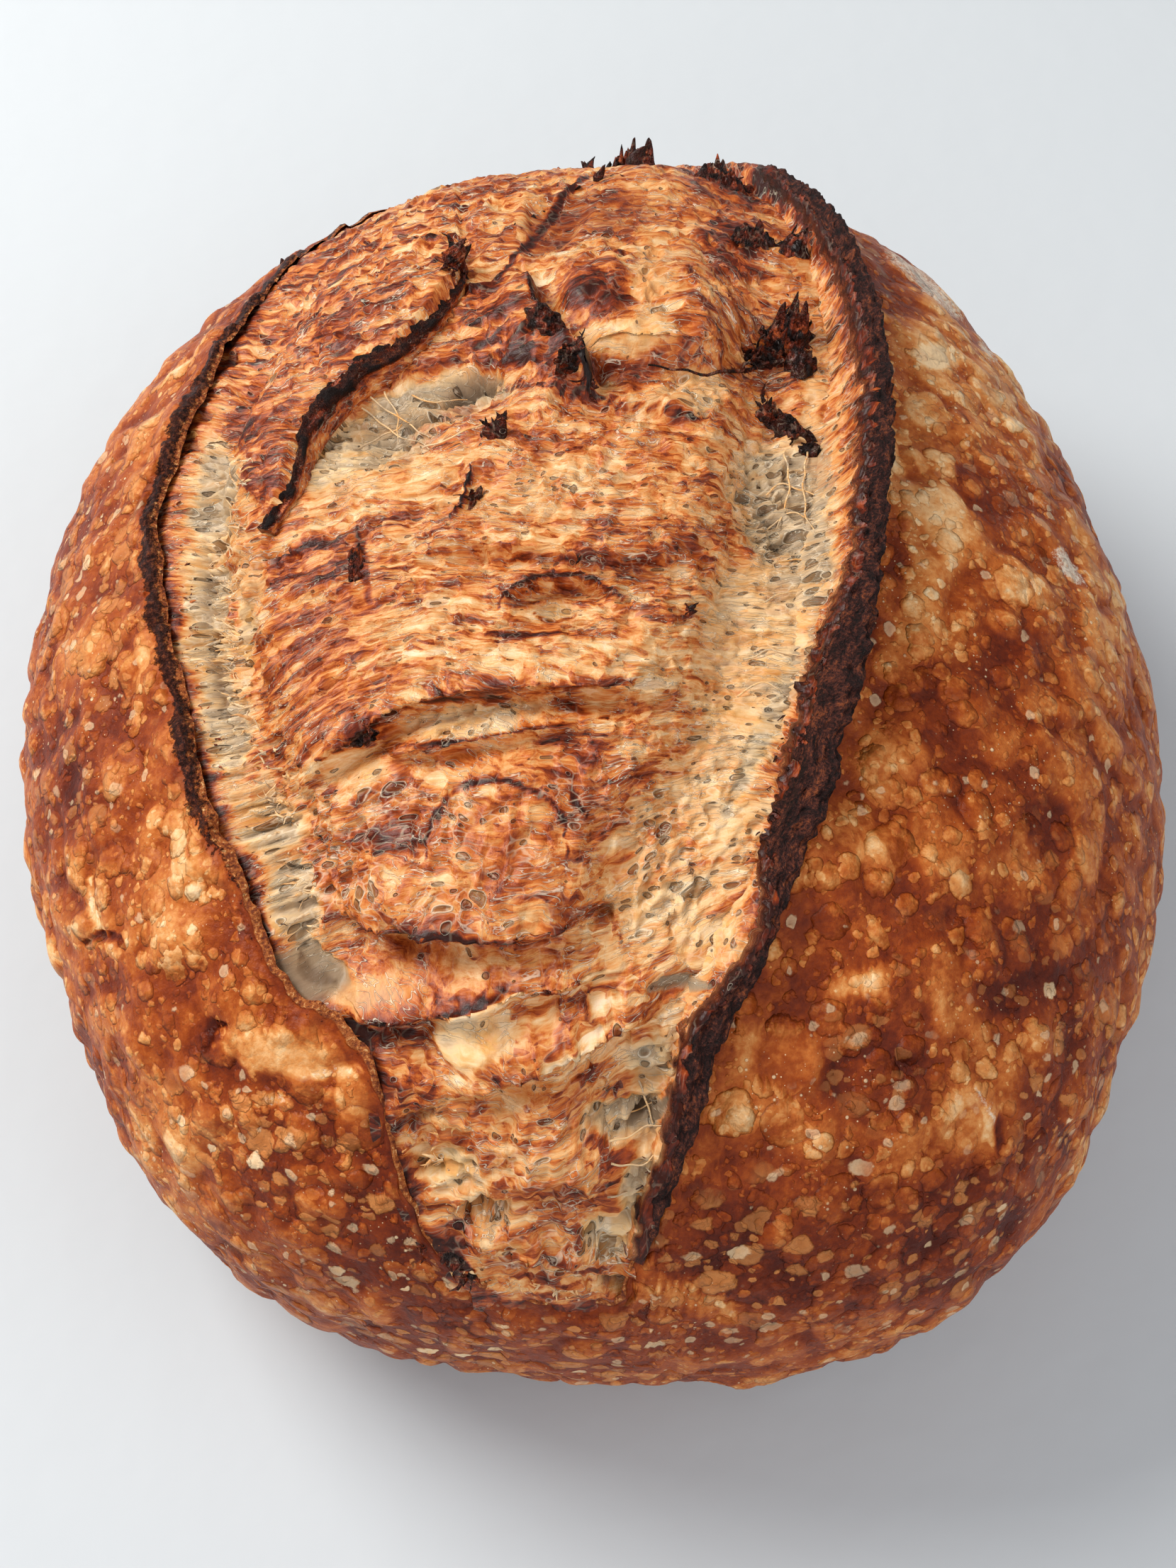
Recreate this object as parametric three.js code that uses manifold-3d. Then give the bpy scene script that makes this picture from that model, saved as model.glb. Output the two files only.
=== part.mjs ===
// Sourdough loaf: a round country loaf, slashed once and burst wide open in the oven.
// Millimetres, +Z up. The origin is the middle of the flat base, at the height it stands on.
// The loaf is one solid: a domed body with a flat base, a burst (the "bloom") of torn crumb
// between a low crust edge on the left and a tall lifted crust ridge (the "ear") on the right.
import * as THREE from 'three';
import { mergeVertices } from 'three/addons/utils/BufferGeometryUtils.js';
import { ImprovedNoise } from 'three/addons/math/ImprovedNoise.js';
import Module from 'manifold-3d';

const wasm = await Module();
wasm.setup();

// ---- Driving dimensions of the body -------------------------------------------------------
const LOAF_HEIGHT = 110.5;
const BELLY_HEIGHT = 45; // height of the widest level
const UPPER_FULLNESS = 2.25; // exponent of the upper half's outline: 2 is an ellipse
const LOWER_FULLNESS = 2.3;
const BASE_SHARE = 0.8; // base width as a share of the belly's width
// Belly radius every 30 degrees, from +X round towards +Y.
const BELLY_RADII = [97.3, 99, 111.6, 111.9, 108.2, 101.7, 97.3, 100.3, 110.8, 111.9, 116.6, 104.4];

// Places on the skin are [u, v]: mm along the skin from the crown, u towards +X, v towards +Y.
const SKIN_PER_RADIAN = 84;

// ---- Driving dimensions of the burst ------------------------------------------------------
const BLOOM_RISE = 2.5; // how far the torn crumb domes above the body's outline
const BLOOM_SHOULDER = 30; // the dome's rise is spread over this width
// Grooves of pale crumb along both sides: middle is measured from the edge, from and to along v.
const LEFT_CHANNEL = { depth: 5, middle: 8, width: 6.5, from: -72, to: 66 };
const RIGHT_CHANNEL = { depth: 4.5, middle: 15, width: 9, from: -66, to: 66 };
const CHANNEL_FADE = 22;
const CRUST_LIP = { height: 1.8, width: 5 };

// Left edge of the crust, from the front end of the burst to its back end.
const CRUST_EDGE = [
  [6, -112], [-9, -113], [-19, -110], [-24, -104], [-30, -95], [-31, -89], [-27, -84.5],
  [-22, -81], [-30, -78], [-40, -78.5], [-46, -74], [-55, -59], [-62, -48], [-69, -29],
  [-73, -15], [-77, 0], [-78, 16], [-74, 30], [-70, 46], [-63, 66], [-53, 88], [-38, 105],
  [-16, 117],
];

// Crest of the ear, from the front end of the burst to its back end.
const EAR_CREST = [
  [6, -106], [9.4, -97], [12, -90], [15, -82], [19, -75], [23, -68], [27, -60], [31.5, -50],
  [35, -40], [39.6, -29], [44.5, -15], [48.2, 0.6], [49.9, 21], [49, 39], [47, 50], [43, 62],
  [36, 76], [27, 92], [12, 108], [-8, 118],
];
// Height and thickness of the ear at shares of its length.
const EAR_SIZES = [
  { at: 0, height: 1, thick: 3 }, { at: 0.08, height: 3, thick: 3.5 },
  { at: 0.15, height: 5, thick: 4.5 }, { at: 0.21, height: 3.5, thick: 3 },
  { at: 0.28, height: 6, thick: 5 }, { at: 0.4, height: 9.5, thick: 7.5 },
  { at: 0.55, height: 10.5, thick: 7 }, { at: 0.7, height: 9.5, thick: 6 },
  { at: 0.8, height: 8, thick: 6 }, { at: 0.92, height: 4.5, thick: 5 },
  { at: 1, height: 1, thick: 3 },
];

// Curled rim of the torn flap at the back left. The flap lies over a hollow pocket.
const FLAP_RIM = [
  [-23.5, 61], [-24, 54], [-28, 46], [-34, 38], [-41.5, 33], [-47.5, 26], [-51, 19],
  [-53, 9], [-57, 1],
];
const FLAP_SIZE = { height: 3.6, thick: 3.4, rise: 4.5, reach: 32 };

// Torn steps across the burst: the skin rises to the path from behind and drops in front of it.
// rise is the height of the step, hollow the groove in front, and both fade over back and front.
const STEPS = [
  { name: 'ridge behind the pocket', rise: 4, hollow: 2.5, back: 12, front: 8,
    path: [[0.7, 25], [-1, 31], [-3, 36], [-8, 42], [-11, 49], [-12, 58]] },
  { name: 'ledge below the crown lumps', rise: 3.5, hollow: 1.5, back: 12, front: 9,
    path: [[-4, 40.5], [5, 39], [13, 38.5], [21, 39], [28, 41]] },
  { name: 'low ledge right of the pocket', rise: 1.5, hollow: 1.5, back: 9, front: 6,
    path: [[-9, 31], [3, 28], [15, 25.5], [24, 22]] },
  { name: 'brown band over the eye', rise: 2, hollow: 1.5, back: 9, front: 7,
    path: [[-34, -5], [-17, -7], [-4, -9.5], [9, -9.5], [22, -8]] },
  { name: 'eyelid', rise: 2.5, hollow: 2, back: 6, front: 5,
    path: [[-16.5, -20], [-13.5, -16.5], [-6, -14], [1.5, -15], [7.5, -19]] },
  { name: 'long curved ledge', rise: 4, hollow: 3, back: 12, front: 7,
    path: [[-52, -48], [-45, -44], [-37.5, -40], [-32, -37], [-24, -35.5], [-12, -35], [4, -35],
      [17, -37]] },
  { name: 'lip under the honeycomb', rise: 2, hollow: 1.5, back: 5, front: 6,
    path: [[-37, -43.5], [-26.5, -44], [-17, -43], [-8, -42], [3, -41]] },
  { name: 'step over the stretched skin', rise: 5, hollow: 2, back: 14, front: 8,
    path: [[-42, -64], [-36, -67], [-24, -68.5], [-13, -69.5], [-5, -69], [5, -67]] },
  { name: 'fold under the stretched skin', rise: 3.2, hollow: 2.5, back: 6, front: 8,
    path: [[-41, -76.5], [-32, -79], [-24, -79], [-18, -78], [-11, -76.5], [-3, -76], [6, -75]] },
  { name: 'strand over the lower burst', rise: 2.5, hollow: 2, back: 7, front: 6,
    path: [[-22, -90], [-14, -87], [-4, -84], [6, -81], [12, -79]] },
  { name: 'torn lower end', rise: 3.5, hollow: 1.5, back: 10, front: 6,
    path: [[-22, -104], [-14, -107], [-4, -109], [3, -108]] },
];
const STEP_TAPER = 0.22; // share of each path over which a step fades at both ends

// Rounded lumps (positive height) and torn pockets (negative): middle, half-widths in u and v.
const LUMPS = [
  { at: [-13, -58], reach: [14, 10], height: 3.2 }, // round lobe
  { at: [-6, -21.5], reach: [5.5, 3], height: -2.2 }, // eye
  { at: [-39, -72.5], reach: [9, 4], height: -3.5 }, // pocket above the lower fold
  { at: [-38, 24], reach: [12, 9], height: -5.5 }, // pocket under the flap
  { at: [-22, 32], reach: [8, 5], height: -4.5 },
  { at: [-24, -97], reach: [6, 4], height: -2.5 }, // holes in the lower burst
  { at: [4, -91], reach: [6, 4], height: -3 },
  { at: [-6, -104], reach: [10, 4], height: -2.5 },
  { at: [2, 55], reach: [12, 9], height: 3 }, // lumps on the crown
  { at: [23, 52], reach: [11, 9], height: 3.5 },
  { at: [-20, 80], reach: [16, 10], height: 2.5 },
  { at: [14, 88], reach: [12, 8], height: 3 },
  { at: [-8, -83], reach: [12, 5], height: 2 },
  { at: [-2, -97], reach: [9, 6], height: 3.5 },
];

// Charred points that stand up from the torn crumb: place, height, width at the root, lean.
const PEAKS = [
  { at: [33, 33], height: 7.5, width: 11, lean: [-0.4, 0.3] },
  { at: [36, 27], height: 6, width: 8, lean: [0.1, 0.1] },
  { at: [33, 14], height: 6, width: 9, lean: [-0.7, 0.5] },
  { at: [34, 55], height: 5, width: 8, lean: [-0.3, 0.2] },
  { at: [26, 58], height: 4.5, width: 9, lean: [-0.2, 0.2] },
  { at: [-2, 30], height: 4, width: 8, lean: [0.1, 0] },
  { at: [-23, 60], height: 5, width: 5, lean: [-0.5, 0.4] },
  { at: [-55, 66], height: 4, width: 9, lean: [-0.3, 0.4] },
  { at: [-15, 11], height: 5, width: 6, lean: [-0.2, 0.4] },
  { at: [-34, -41], height: 3, width: 6, lean: [-0.2, -0.2] },
  { at: [0, 82], height: 5.5, width: 6, lean: [0.1, 0.5] },
  { at: [11, 84], height: 7, width: 9, lean: [0.3, 0.4] },
  { at: [22.5, 80], height: 4, width: 9, lean: [0, 0.2] },
  { at: [32, 82], height: 4.5, width: 6, lean: [-0.2, 0.4] },
];
const PEAK_SIDES = 6;
const PEAK_ROOT_DEPTH = 3; // how far a peak's root is sunk into the crumb

// ---- Fineness and surface noise -----------------------------------------------------------
const BODY_DETAIL = 20; // cuts of each edge of the icosahedron that is bent into the body
const CROWN_PACKING = 0.45; // share by which the faces crowd towards the crown
const SHOULDER_PACKING = 0.125; // and towards the shoulder, where the burst ends
const CRUMB_CRAGS = { height: 1.6, length: 17, width: 6 };
const CRUST_UNEVENNESS = { height: 0.7, length: 16 };
const EDGE_REACH = 8; // faces within this distance of a torn edge crowd towards it
const EDGE_PULL = 0.7;
const HIGH_STEP = 3; // steps higher than this count as torn edges
const EAR_STATIONS = 46;
const FLAP_STATIONS = 18;
const FRILL = 1.1; // unevenness of the torn inner side of the ear

const CRUST_COLOUR = 0x8f4a20;

// ---- Small helpers ------------------------------------------------------------------------
const noise = new ImprovedNoise();

function smoothstep(low, high, x) {
  const t = Math.min(1, Math.max(0, (x - low) / (high - low)));
  return t * t * (3 - 2 * t);
}

function bump(distance, width) {
  return Math.exp(-((distance / width) ** 2));
}

// Value at a share of the way along a list of { at, ... } entries.
function alongList(list, share, key) {
  let i = 1;
  while (i < list.length - 1 && list[i].at < share) i += 1;
  const [a, b] = [list[i - 1], list[i]];
  return THREE.MathUtils.lerp(a[key], b[key], smoothstep(a.at, b.at, share));
}

// A smooth curve through skin places, as evenly spaced samples with left-hand normals.
function skinPath(places, samples) {
  const curve = new THREE.CatmullRomCurve3(places.map(([u, v]) => new THREE.Vector3(u, v, 0)));
  return Array.from({ length: samples + 1 }, (_, i) => {
    const at = curve.getPointAt(i / samples);
    const along = curve.getTangentAt(i / samples);
    return { u: at.x, v: at.y, side: [-along.y, along.x], share: i / samples };
  });
}

// Nearest point of a path: its distance, its place, how far over to the left-hand side the
// given place lies, and its share of the path's length.
function nearest(path, u, v) {
  let best = null;
  for (let i = 0; i < path.length - 1; i += 1) {
    const [a, b] = [path[i], path[i + 1]];
    const [du, dv] = [b.u - a.u, b.v - a.v];
    const t = THREE.MathUtils.clamp(((u - a.u) * du + (v - a.v) * dv) / (du * du + dv * dv), 0, 1);
    const [footU, footV] = [a.u + t * du, a.v + t * dv];
    const distance = Math.hypot(u - footU, v - footV);
    if (best === null || distance < best.distance) {
      const offset = (u - footU) * a.side[0] + (v - footV) * a.side[1];
      best = { distance, offset, footU, footV, share: THREE.MathUtils.lerp(a.share, b.share, t) };
    }
  }
  return best;
}

// ---- Body ---------------------------------------------------------------------------------
function bellyRadius(azimuth) {
  const count = BELLY_RADII.length;
  const place = ((azimuth / (2 * Math.PI)) * count + count) % count;
  const i = Math.floor(place) % count;
  const t = place - Math.floor(place);
  const [a, b, c, d] = [-1, 0, 1, 2].map((k) => BELLY_RADII[(i + k + count) % count]);
  return b + 0.5 * t * (c - a + t * (2 * a - 5 * b + 4 * c - d + t * (3 * (b - c) + d - a)));
}

const CROWN_RISE = LOAF_HEIGHT - BELLY_HEIGHT;
const LOWER_RISE = BELLY_HEIGHT / (1 - BASE_SHARE ** LOWER_FULLNESS) ** (1 / LOWER_FULLNESS);

// Distance from the middle of the belly to the skin, at a polar angle and azimuth.
function bodyRadius(polar, azimuth) {
  const [across, up] = [Math.sin(polar), Math.cos(polar)];
  const fullness = up >= 0 ? UPPER_FULLNESS : LOWER_FULLNESS;
  const rise = up >= 0 ? CROWN_RISE : LOWER_RISE;
  const across2 = (across / bellyRadius(azimuth)) ** fullness;
  return (across2 + (Math.abs(up) / rise) ** fullness) ** (-1 / fullness);
}

function skinPoint(u, v, lift = 0) {
  const polar = Math.hypot(u, v) / SKIN_PER_RADIAN;
  const azimuth = Math.atan2(v, u);
  const radius = bodyRadius(polar, azimuth) + lift;
  return new THREE.Vector3(
    radius * Math.sin(polar) * Math.cos(azimuth),
    radius * Math.sin(polar) * Math.sin(azimuth),
    BELLY_HEIGHT + radius * Math.cos(polar),
  );
}

// ---- Relief of the burst ------------------------------------------------------------------
const crustEdge = skinPath(CRUST_EDGE, 90);
const earCrest = skinPath(EAR_CREST, 90);
const flapRim = skinPath(FLAP_RIM, 30);
const steps = STEPS.map((step) => ({ ...step, samples: skinPath(step.path, 24) }));
const highSteps = steps.filter(({ rise }) => rise > HIGH_STEP);
const TORN_EDGES = [crustEdge, flapRim, ...highSteps.map(({ samples }) => samples)];
const burstOutline = [...crustEdge, ...[...earCrest].reverse()];

function insideBurst(u, v) {
  let inside = false;
  burstOutline.forEach((a, i) => {
    const b = burstOutline[(i + 1) % burstOutline.length];
    if (a.v > v !== b.v > v && u < ((b.u - a.u) * (v - a.v)) / (b.v - a.v) + a.u) inside = !inside;
  });
  return inside;
}

// Path sides: a step's path runs from left to right, so its left-hand side is behind it.
function stepRelief(step, u, v) {
  const { distance, offset, share } = nearest(step.samples, u, v);
  const fade = smoothstep(0, STEP_TAPER, share) * smoothstep(0, STEP_TAPER, 1 - share);
  const beyondEnd = bump(Math.sqrt(Math.max(0, distance ** 2 - offset ** 2)), 4);
  if (offset >= 0) return fade * beyondEnd * step.rise * bump(distance, step.back * 0.6);
  const drop = 1 - smoothstep(0, step.front * 0.45, distance);
  const groove = bump(distance - step.front * 0.55, step.front * 0.4);
  return fade * beyondEnd * (step.rise * drop - step.hollow * groove * (1 - drop));
}

function flapRelief(u, v) {
  const { distance, offset, share } = nearest(flapRim, u, v);
  const fade = smoothstep(-0.1, 0.15, share) * smoothstep(-0.1, 0.2, 1 - share);
  if (offset > 0) return 0;
  return fade * FLAP_SIZE.rise * (1 - smoothstep(0, FLAP_SIZE.reach, distance));
}

function channelDepth({ depth, middle, width, from, to }, gap, v) {
  const lower = smoothstep(from - CHANNEL_FADE, from + CHANNEL_FADE, v);
  const upper = 1 - smoothstep(to - CHANNEL_FADE, to + CHANNEL_FADE, v);
  return depth * lower * upper * bump(gap - middle, width);
}

function burstRelief(u, v, leftGap, rightGap) {
  const shoulder = smoothstep(0, BLOOM_SHOULDER, Math.min(leftGap, rightGap));
  let lift = BLOOM_RISE * shoulder;
  lift -= channelDepth(LEFT_CHANNEL, leftGap, v) + channelDepth(RIGHT_CHANNEL, rightGap, v);
  steps.forEach((step) => {
    lift += stepRelief(step, u, v);
  });
  LUMPS.forEach(({ at, reach, height }) => {
    lift += height * bump(Math.hypot((u - at[0]) / reach[0], (v - at[1]) / reach[1]), 1);
  });
  lift += flapRelief(u, v);
  const { height, length, width } = CRUMB_CRAGS;
  const streaks = noise.noise(u / length, v / width, 0.5);
  const crumbs = 0.5 * noise.noise(u / width, v / width, 7.5);
  return lift + height * (streaks + crumbs) * smoothstep(0, 6, Math.min(leftGap, rightGap));
}

function relief(u, v) {
  const left = nearest(crustEdge, u, v).distance;
  const right = nearest(earCrest, u, v).distance;
  if (insideBurst(u, v)) return burstRelief(u, v, left, right);
  const { height, length } = CRUST_UNEVENNESS;
  const uneven = height * noise.noise(u / length, v / length, 3.5);
  return uneven + CRUST_LIP.height * bump(left, CRUST_LIP.width);
}

// ---- Solids -------------------------------------------------------------------------------
function solidFrom(geometry) {
  geometry.deleteAttribute('normal');
  geometry.deleteAttribute('uv');
  const merged = mergeVertices(geometry, 1e-4);
  const vertProperties = new Float32Array(merged.attributes.position.array);
  const triVerts = new Uint32Array(merged.index.array);
  return new wasm.Manifold(new wasm.Mesh({ numProp: 3, vertProperties, triVerts }));
}

function geometryFrom(positions, faces) {
  const geometry = new THREE.BufferGeometry();
  geometry.setAttribute('position', new THREE.Float32BufferAttribute(positions, 3));
  geometry.setIndex(faces);
  return geometry;
}

// The place pulled towards the torn edges near it, so that the faces follow them.
function crowded(place) {
  return TORN_EDGES.reduce(([u, v], path) => {
    const { distance, footU, footV } = nearest(path, u, v);
    const keep = Math.min(1, distance / EDGE_REACH) ** EDGE_PULL;
    return [footU + (u - footU) * keep, footV + (v - footV) * keep];
  }, place);
}

function bodySolid() {
  const ball = new THREE.IcosahedronGeometry(1, BODY_DETAIL);
  ball.rotateX(0.3); // no corner of the icosahedron at the crown
  const position = ball.attributes.position;
  for (let i = 0; i < position.count; i += 1) {
    const ray = new THREE.Vector3().fromBufferAttribute(position, i).normalize();
    const angle = Math.acos(ray.z);
    const crowding = CROWN_PACKING * Math.sin(angle) - SHOULDER_PACKING * Math.sin(2 * angle);
    const polar = angle - crowding;
    const azimuth = Math.atan2(ray.y, ray.x);
    const even = [Math.cos(azimuth), Math.sin(azimuth)].map((x) => x * polar * SKIN_PER_RADIAN);
    const [u, v] = crowded(even);
    const place = skinPoint(u, v, relief(u, v));
    position.setXYZ(i, place.x, place.y, place.z);
  }
  return solidFrom(ball);
}

// A closed body swept along skin stations: each section is a list of [across, up] in mm.
function sweptSolid(stations, sectionAt) {
  const positions = [];
  const faces = [];
  let count = 0;
  stations.forEach((station) => {
    const foot = skinPoint(station.u, station.v, relief(station.u, station.v));
    const bare = skinPoint(station.u, station.v);
    const nudge = skinPoint(station.u + station.side[0], station.v + station.side[1]);
    const across = nudge.sub(bare).normalize();
    const up = skinPoint(station.u, station.v, 1).sub(bare).normalize();
    const section = sectionAt(station);
    count = section.length;
    section.forEach(([x, y]) => {
      const p = foot.clone().addScaledVector(across, x).addScaledVector(up, y);
      positions.push(p.x, p.y, p.z);
    });
  });
  for (let ring = 0; ring < stations.length - 1; ring += 1) {
    for (let k = 0; k < count; k += 1) {
      const a = ring * count + k;
      const b = ring * count + ((k + 1) % count);
      faces.push(a, a + count, b, b, a + count, b + count);
    }
  }
  [0, stations.length - 1].forEach((ring) => {
    const middle = positions.length / 3;
    const start = ring * count;
    const sum = new THREE.Vector3();
    for (let k = 0; k < count; k += 1) {
      sum.add(new THREE.Vector3().fromArray(positions, (start + k) * 3));
    }
    sum.divideScalar(count);
    positions.push(sum.x, sum.y, sum.z);
    for (let k = 0; k < count; k += 1) {
      const [a, b] = [start + k, start + ((k + 1) % count)];
      if (ring === 0) faces.push(a, b, middle);
      else faces.push(b, a, middle);
    }
  });
  return solidFrom(geometryFrom(positions, faces));
}

// The ear's section, from its buried outer foot round the crest to its buried inner foot.
// Across is positive towards the burst; the outer side hangs over the crust.
function earSection({ u, v, share }) {
  const height = alongList(EAR_SIZES, share, 'height');
  const thick = alongList(EAR_SIZES, share, 'thick');
  const half = thick / 2;
  const torn = FRILL * noise.noise(u / 3.1, v / 3.1, 1.7);
  const uneven = FRILL * noise.noise(u / 4.3, v / 4.3, 5.1);
  return [
    [-half * 0.5, -5],
    [-half * 0.6, height * 0.15],
    [-half * 1.15, height * 0.55],
    [-half * 1.25, height * 0.88],
    [-half * 0.8, height],
    [half * 0.3, height * 0.93 + uneven],
    [half * 1.05, height * 0.76 + torn],
    [half * 1.2 + torn, height * 0.4],
    [half * 1.7, height * 0.1],
    [half * 2.1, -5],
  ];
}

// The flap's rim curls up and over the pocket in front of it.
function flapSection({ share, u, v }) {
  const fade = Math.sin(Math.PI * Math.min(0.9, Math.max(0.1, share)));
  const height = FLAP_SIZE.height * fade + 0.6 * noise.noise(u / 3, v / 3, 2.2);
  const half = FLAP_SIZE.thick / 2;
  return [
    [-half * 2.2, -3],
    [-half * 1.4, height * 0.6],
    [-half * 0.2, height],
    [half * 1.2, height * 0.75],
    [half * 1.1, height * 0.1],
    [half * 0.4, -3],
  ];
}

function peakSolid({ at, height, width, lean }, index) {
  const length = height + PEAK_ROOT_DEPTH;
  const cone = new THREE.CylinderGeometry(width * 0.2, width / 2, length, PEAK_SIDES, 2);
  cone.rotateX(Math.PI / 2);
  cone.translate(0, 0, length / 2 - PEAK_ROOT_DEPTH);
  const position = cone.attributes.position;
  for (let i = 0; i < position.count; i += 1) {
    const [x, y, z] = [position.getX(i), position.getY(i), position.getZ(i)];
    const rise = Math.max(0, z);
    const jag = 0.16 * width * noise.noise(x * 0.9 + index, y * 0.9, z * 0.5);
    position.setXYZ(i, x * 1.1 + lean[0] * rise + jag, y * 0.7 + lean[1] * rise + jag, z);
  }
  const foot = skinPoint(at[0], at[1], relief(at[0], at[1]));
  const up = skinPoint(at[0], at[1], 1).sub(skinPoint(at[0], at[1])).normalize();
  cone.applyQuaternion(new THREE.Quaternion().setFromUnitVectors(new THREE.Vector3(0, 0, 1), up));
  cone.translate(foot.x, foot.y, foot.z);
  return solidFrom(cone);
}

// Everything below the level of the base, to be cut away.
function underfloorSolid() {
  const [width, depth] = [400, 100];
  const box = new THREE.BoxGeometry(width, width, depth);
  box.translate(0, 0, -depth / 2);
  return solidFrom(box);
}

function loafSolid() {
  let solid = bodySolid();
  solid = solid.add(sweptSolid(skinPath(EAR_CREST, EAR_STATIONS), earSection));
  solid = solid.add(sweptSolid(skinPath(FLAP_RIM, FLAP_STATIONS), flapSection));
  PEAKS.forEach((peak, index) => {
    solid = solid.add(peakSolid(peak, index));
  });
  return solid.subtract(underfloorSolid());
}

function loafMesh() {
  const { numProp, vertProperties, triVerts } = loafSolid().getMesh();
  const geometry = new THREE.BufferGeometry();
  const positions = Array.from({ length: (vertProperties.length / numProp) * 3 }, (_, i) => (
    vertProperties[Math.floor(i / 3) * numProp + (i % 3)]
  ));
  geometry.setAttribute('position', new THREE.Float32BufferAttribute(positions, 3));
  geometry.setIndex(Array.from(triVerts));
  geometry.computeVertexNormals();
  const material = new THREE.MeshStandardMaterial({ color: CRUST_COLOUR, roughness: 0.75, metalness: 0 });
  const mesh = new THREE.Mesh(geometry, material);
  mesh.name = 'loaf';
  return mesh;
}

const group = new THREE.Group();
group.add(loafMesh());

export default group;
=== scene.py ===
"""Looks of a sourdough loaf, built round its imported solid.

Shapes are worked out in millimetres, as [u, v] places on the loaf's skin (mm along the skin from
the crown, u towards +X and v towards +Y) plus a lift away from the middle of the belly, and turned
into metres when a mesh is made. Places that are read off the photograph are pixels of its
1659 x 2212 frame; they are looked up by projecting the skin through the photograph's camera.
"""

import math

import bpy
import numpy as np
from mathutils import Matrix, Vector


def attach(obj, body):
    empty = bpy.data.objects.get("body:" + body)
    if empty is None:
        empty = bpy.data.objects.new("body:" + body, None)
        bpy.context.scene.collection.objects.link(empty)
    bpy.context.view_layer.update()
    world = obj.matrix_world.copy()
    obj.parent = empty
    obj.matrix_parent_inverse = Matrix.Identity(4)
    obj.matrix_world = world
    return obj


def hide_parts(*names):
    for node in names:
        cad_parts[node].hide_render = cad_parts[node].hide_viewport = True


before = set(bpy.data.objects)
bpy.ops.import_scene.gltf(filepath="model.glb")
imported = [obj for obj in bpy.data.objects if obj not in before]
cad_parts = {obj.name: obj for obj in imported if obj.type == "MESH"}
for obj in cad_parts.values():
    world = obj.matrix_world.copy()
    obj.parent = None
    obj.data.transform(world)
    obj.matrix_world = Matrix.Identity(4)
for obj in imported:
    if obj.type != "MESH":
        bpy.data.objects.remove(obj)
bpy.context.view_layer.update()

FINENESS = 1.0  # share of the full number of rows and columns
MM = 0.001

# ---- Body of the loaf, as in its solid (mm) ------------------------------------------------
LOAF_HEIGHT = 110.5
BELLY_HEIGHT = 45.0
UPPER_FULLNESS = 2.25
LOWER_FULLNESS = 2.3
BASE_SHARE = 0.8
BELLY_RADII = [97.3, 99, 111.6, 111.9, 108.2, 101.7, 97.3, 100.3, 110.8, 111.9, 116.6, 104.4]
SKIN_PER_RADIAN = 84.0
CROWN_RISE = LOAF_HEIGHT - BELLY_HEIGHT
LOWER_RISE = BELLY_HEIGHT / (1 - BASE_SHARE**LOWER_FULLNESS) ** (1 / LOWER_FULLNESS)

# ---- The burst, as in the solid (mm) -------------------------------------------------------
BLOOM_RISE = 2.5
BLOOM_SHOULDER = 30.0
LEFT_CHANNEL = {"depth": 5.0, "middle": 8.0, "width": 6.5, "from": -72.0, "to": 66.0}
RIGHT_CHANNEL = {"depth": 4.5, "middle": 15.0, "width": 9.0, "from": -66.0, "to": 66.0}
CHANNEL_FADE = 22.0
CRUST_LIP = {"height": 1.5, "width": 5.0}
CRUST_EDGE = [
    (6, -116), (-9, -117), (-20, -113), (-26, -105), (-30.5, -95), (-32, -88), (-37, -81),
    (-47, -74), (-56.5, -59), (-64, -48), (-71, -29), (-75.5, -15), (-79, 0), (-80, 16),
    (-76.5, 30), (-72, 46), (-64, 66), (-53, 88), (-38, 105), (-16, 117),
]
EAR_CREST = [
    (7.3, -109), (11.4, -97), (14.1, -90), (17, -82), (21.4, -75), (26, -68), (31.2, -60),
    (35.6, -50), (38.8, -40), (42, -29), (45, -15), (48, 0.6), (49.6, 21), (49.4, 39),
    (47.8, 50), (45, 62), (40.6, 76), (33, 92), (17, 108), (-4, 118),
]
# share of the ear's length, height, thickness
EAR_SIZES = [
    (0, 1, 3), (0.08, 3.5, 4.8), (0.15, 5, 5.2), (0.21, 4, 4.4), (0.28, 6.5, 5.2), (0.4, 9, 5.4),
    (0.55, 9.4, 4.8), (0.64, 8.8, 3.6), (0.7, 8.4, 3.2), (0.8, 6.4, 3.4), (0.92, 3.4, 3),
    (1, 1, 2.6),
]
FLAP_RIM = [
    (-23.5, 61), (-24, 54), (-28, 46), (-34, 38), (-41.5, 33), (-47.5, 26), (-51, 19), (-53, 9),
    (-57, 1),
]
FLAP_SIZE = {"height": 2.8, "thick": 2.2, "rise": 4.5, "reach": 32.0}
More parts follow.
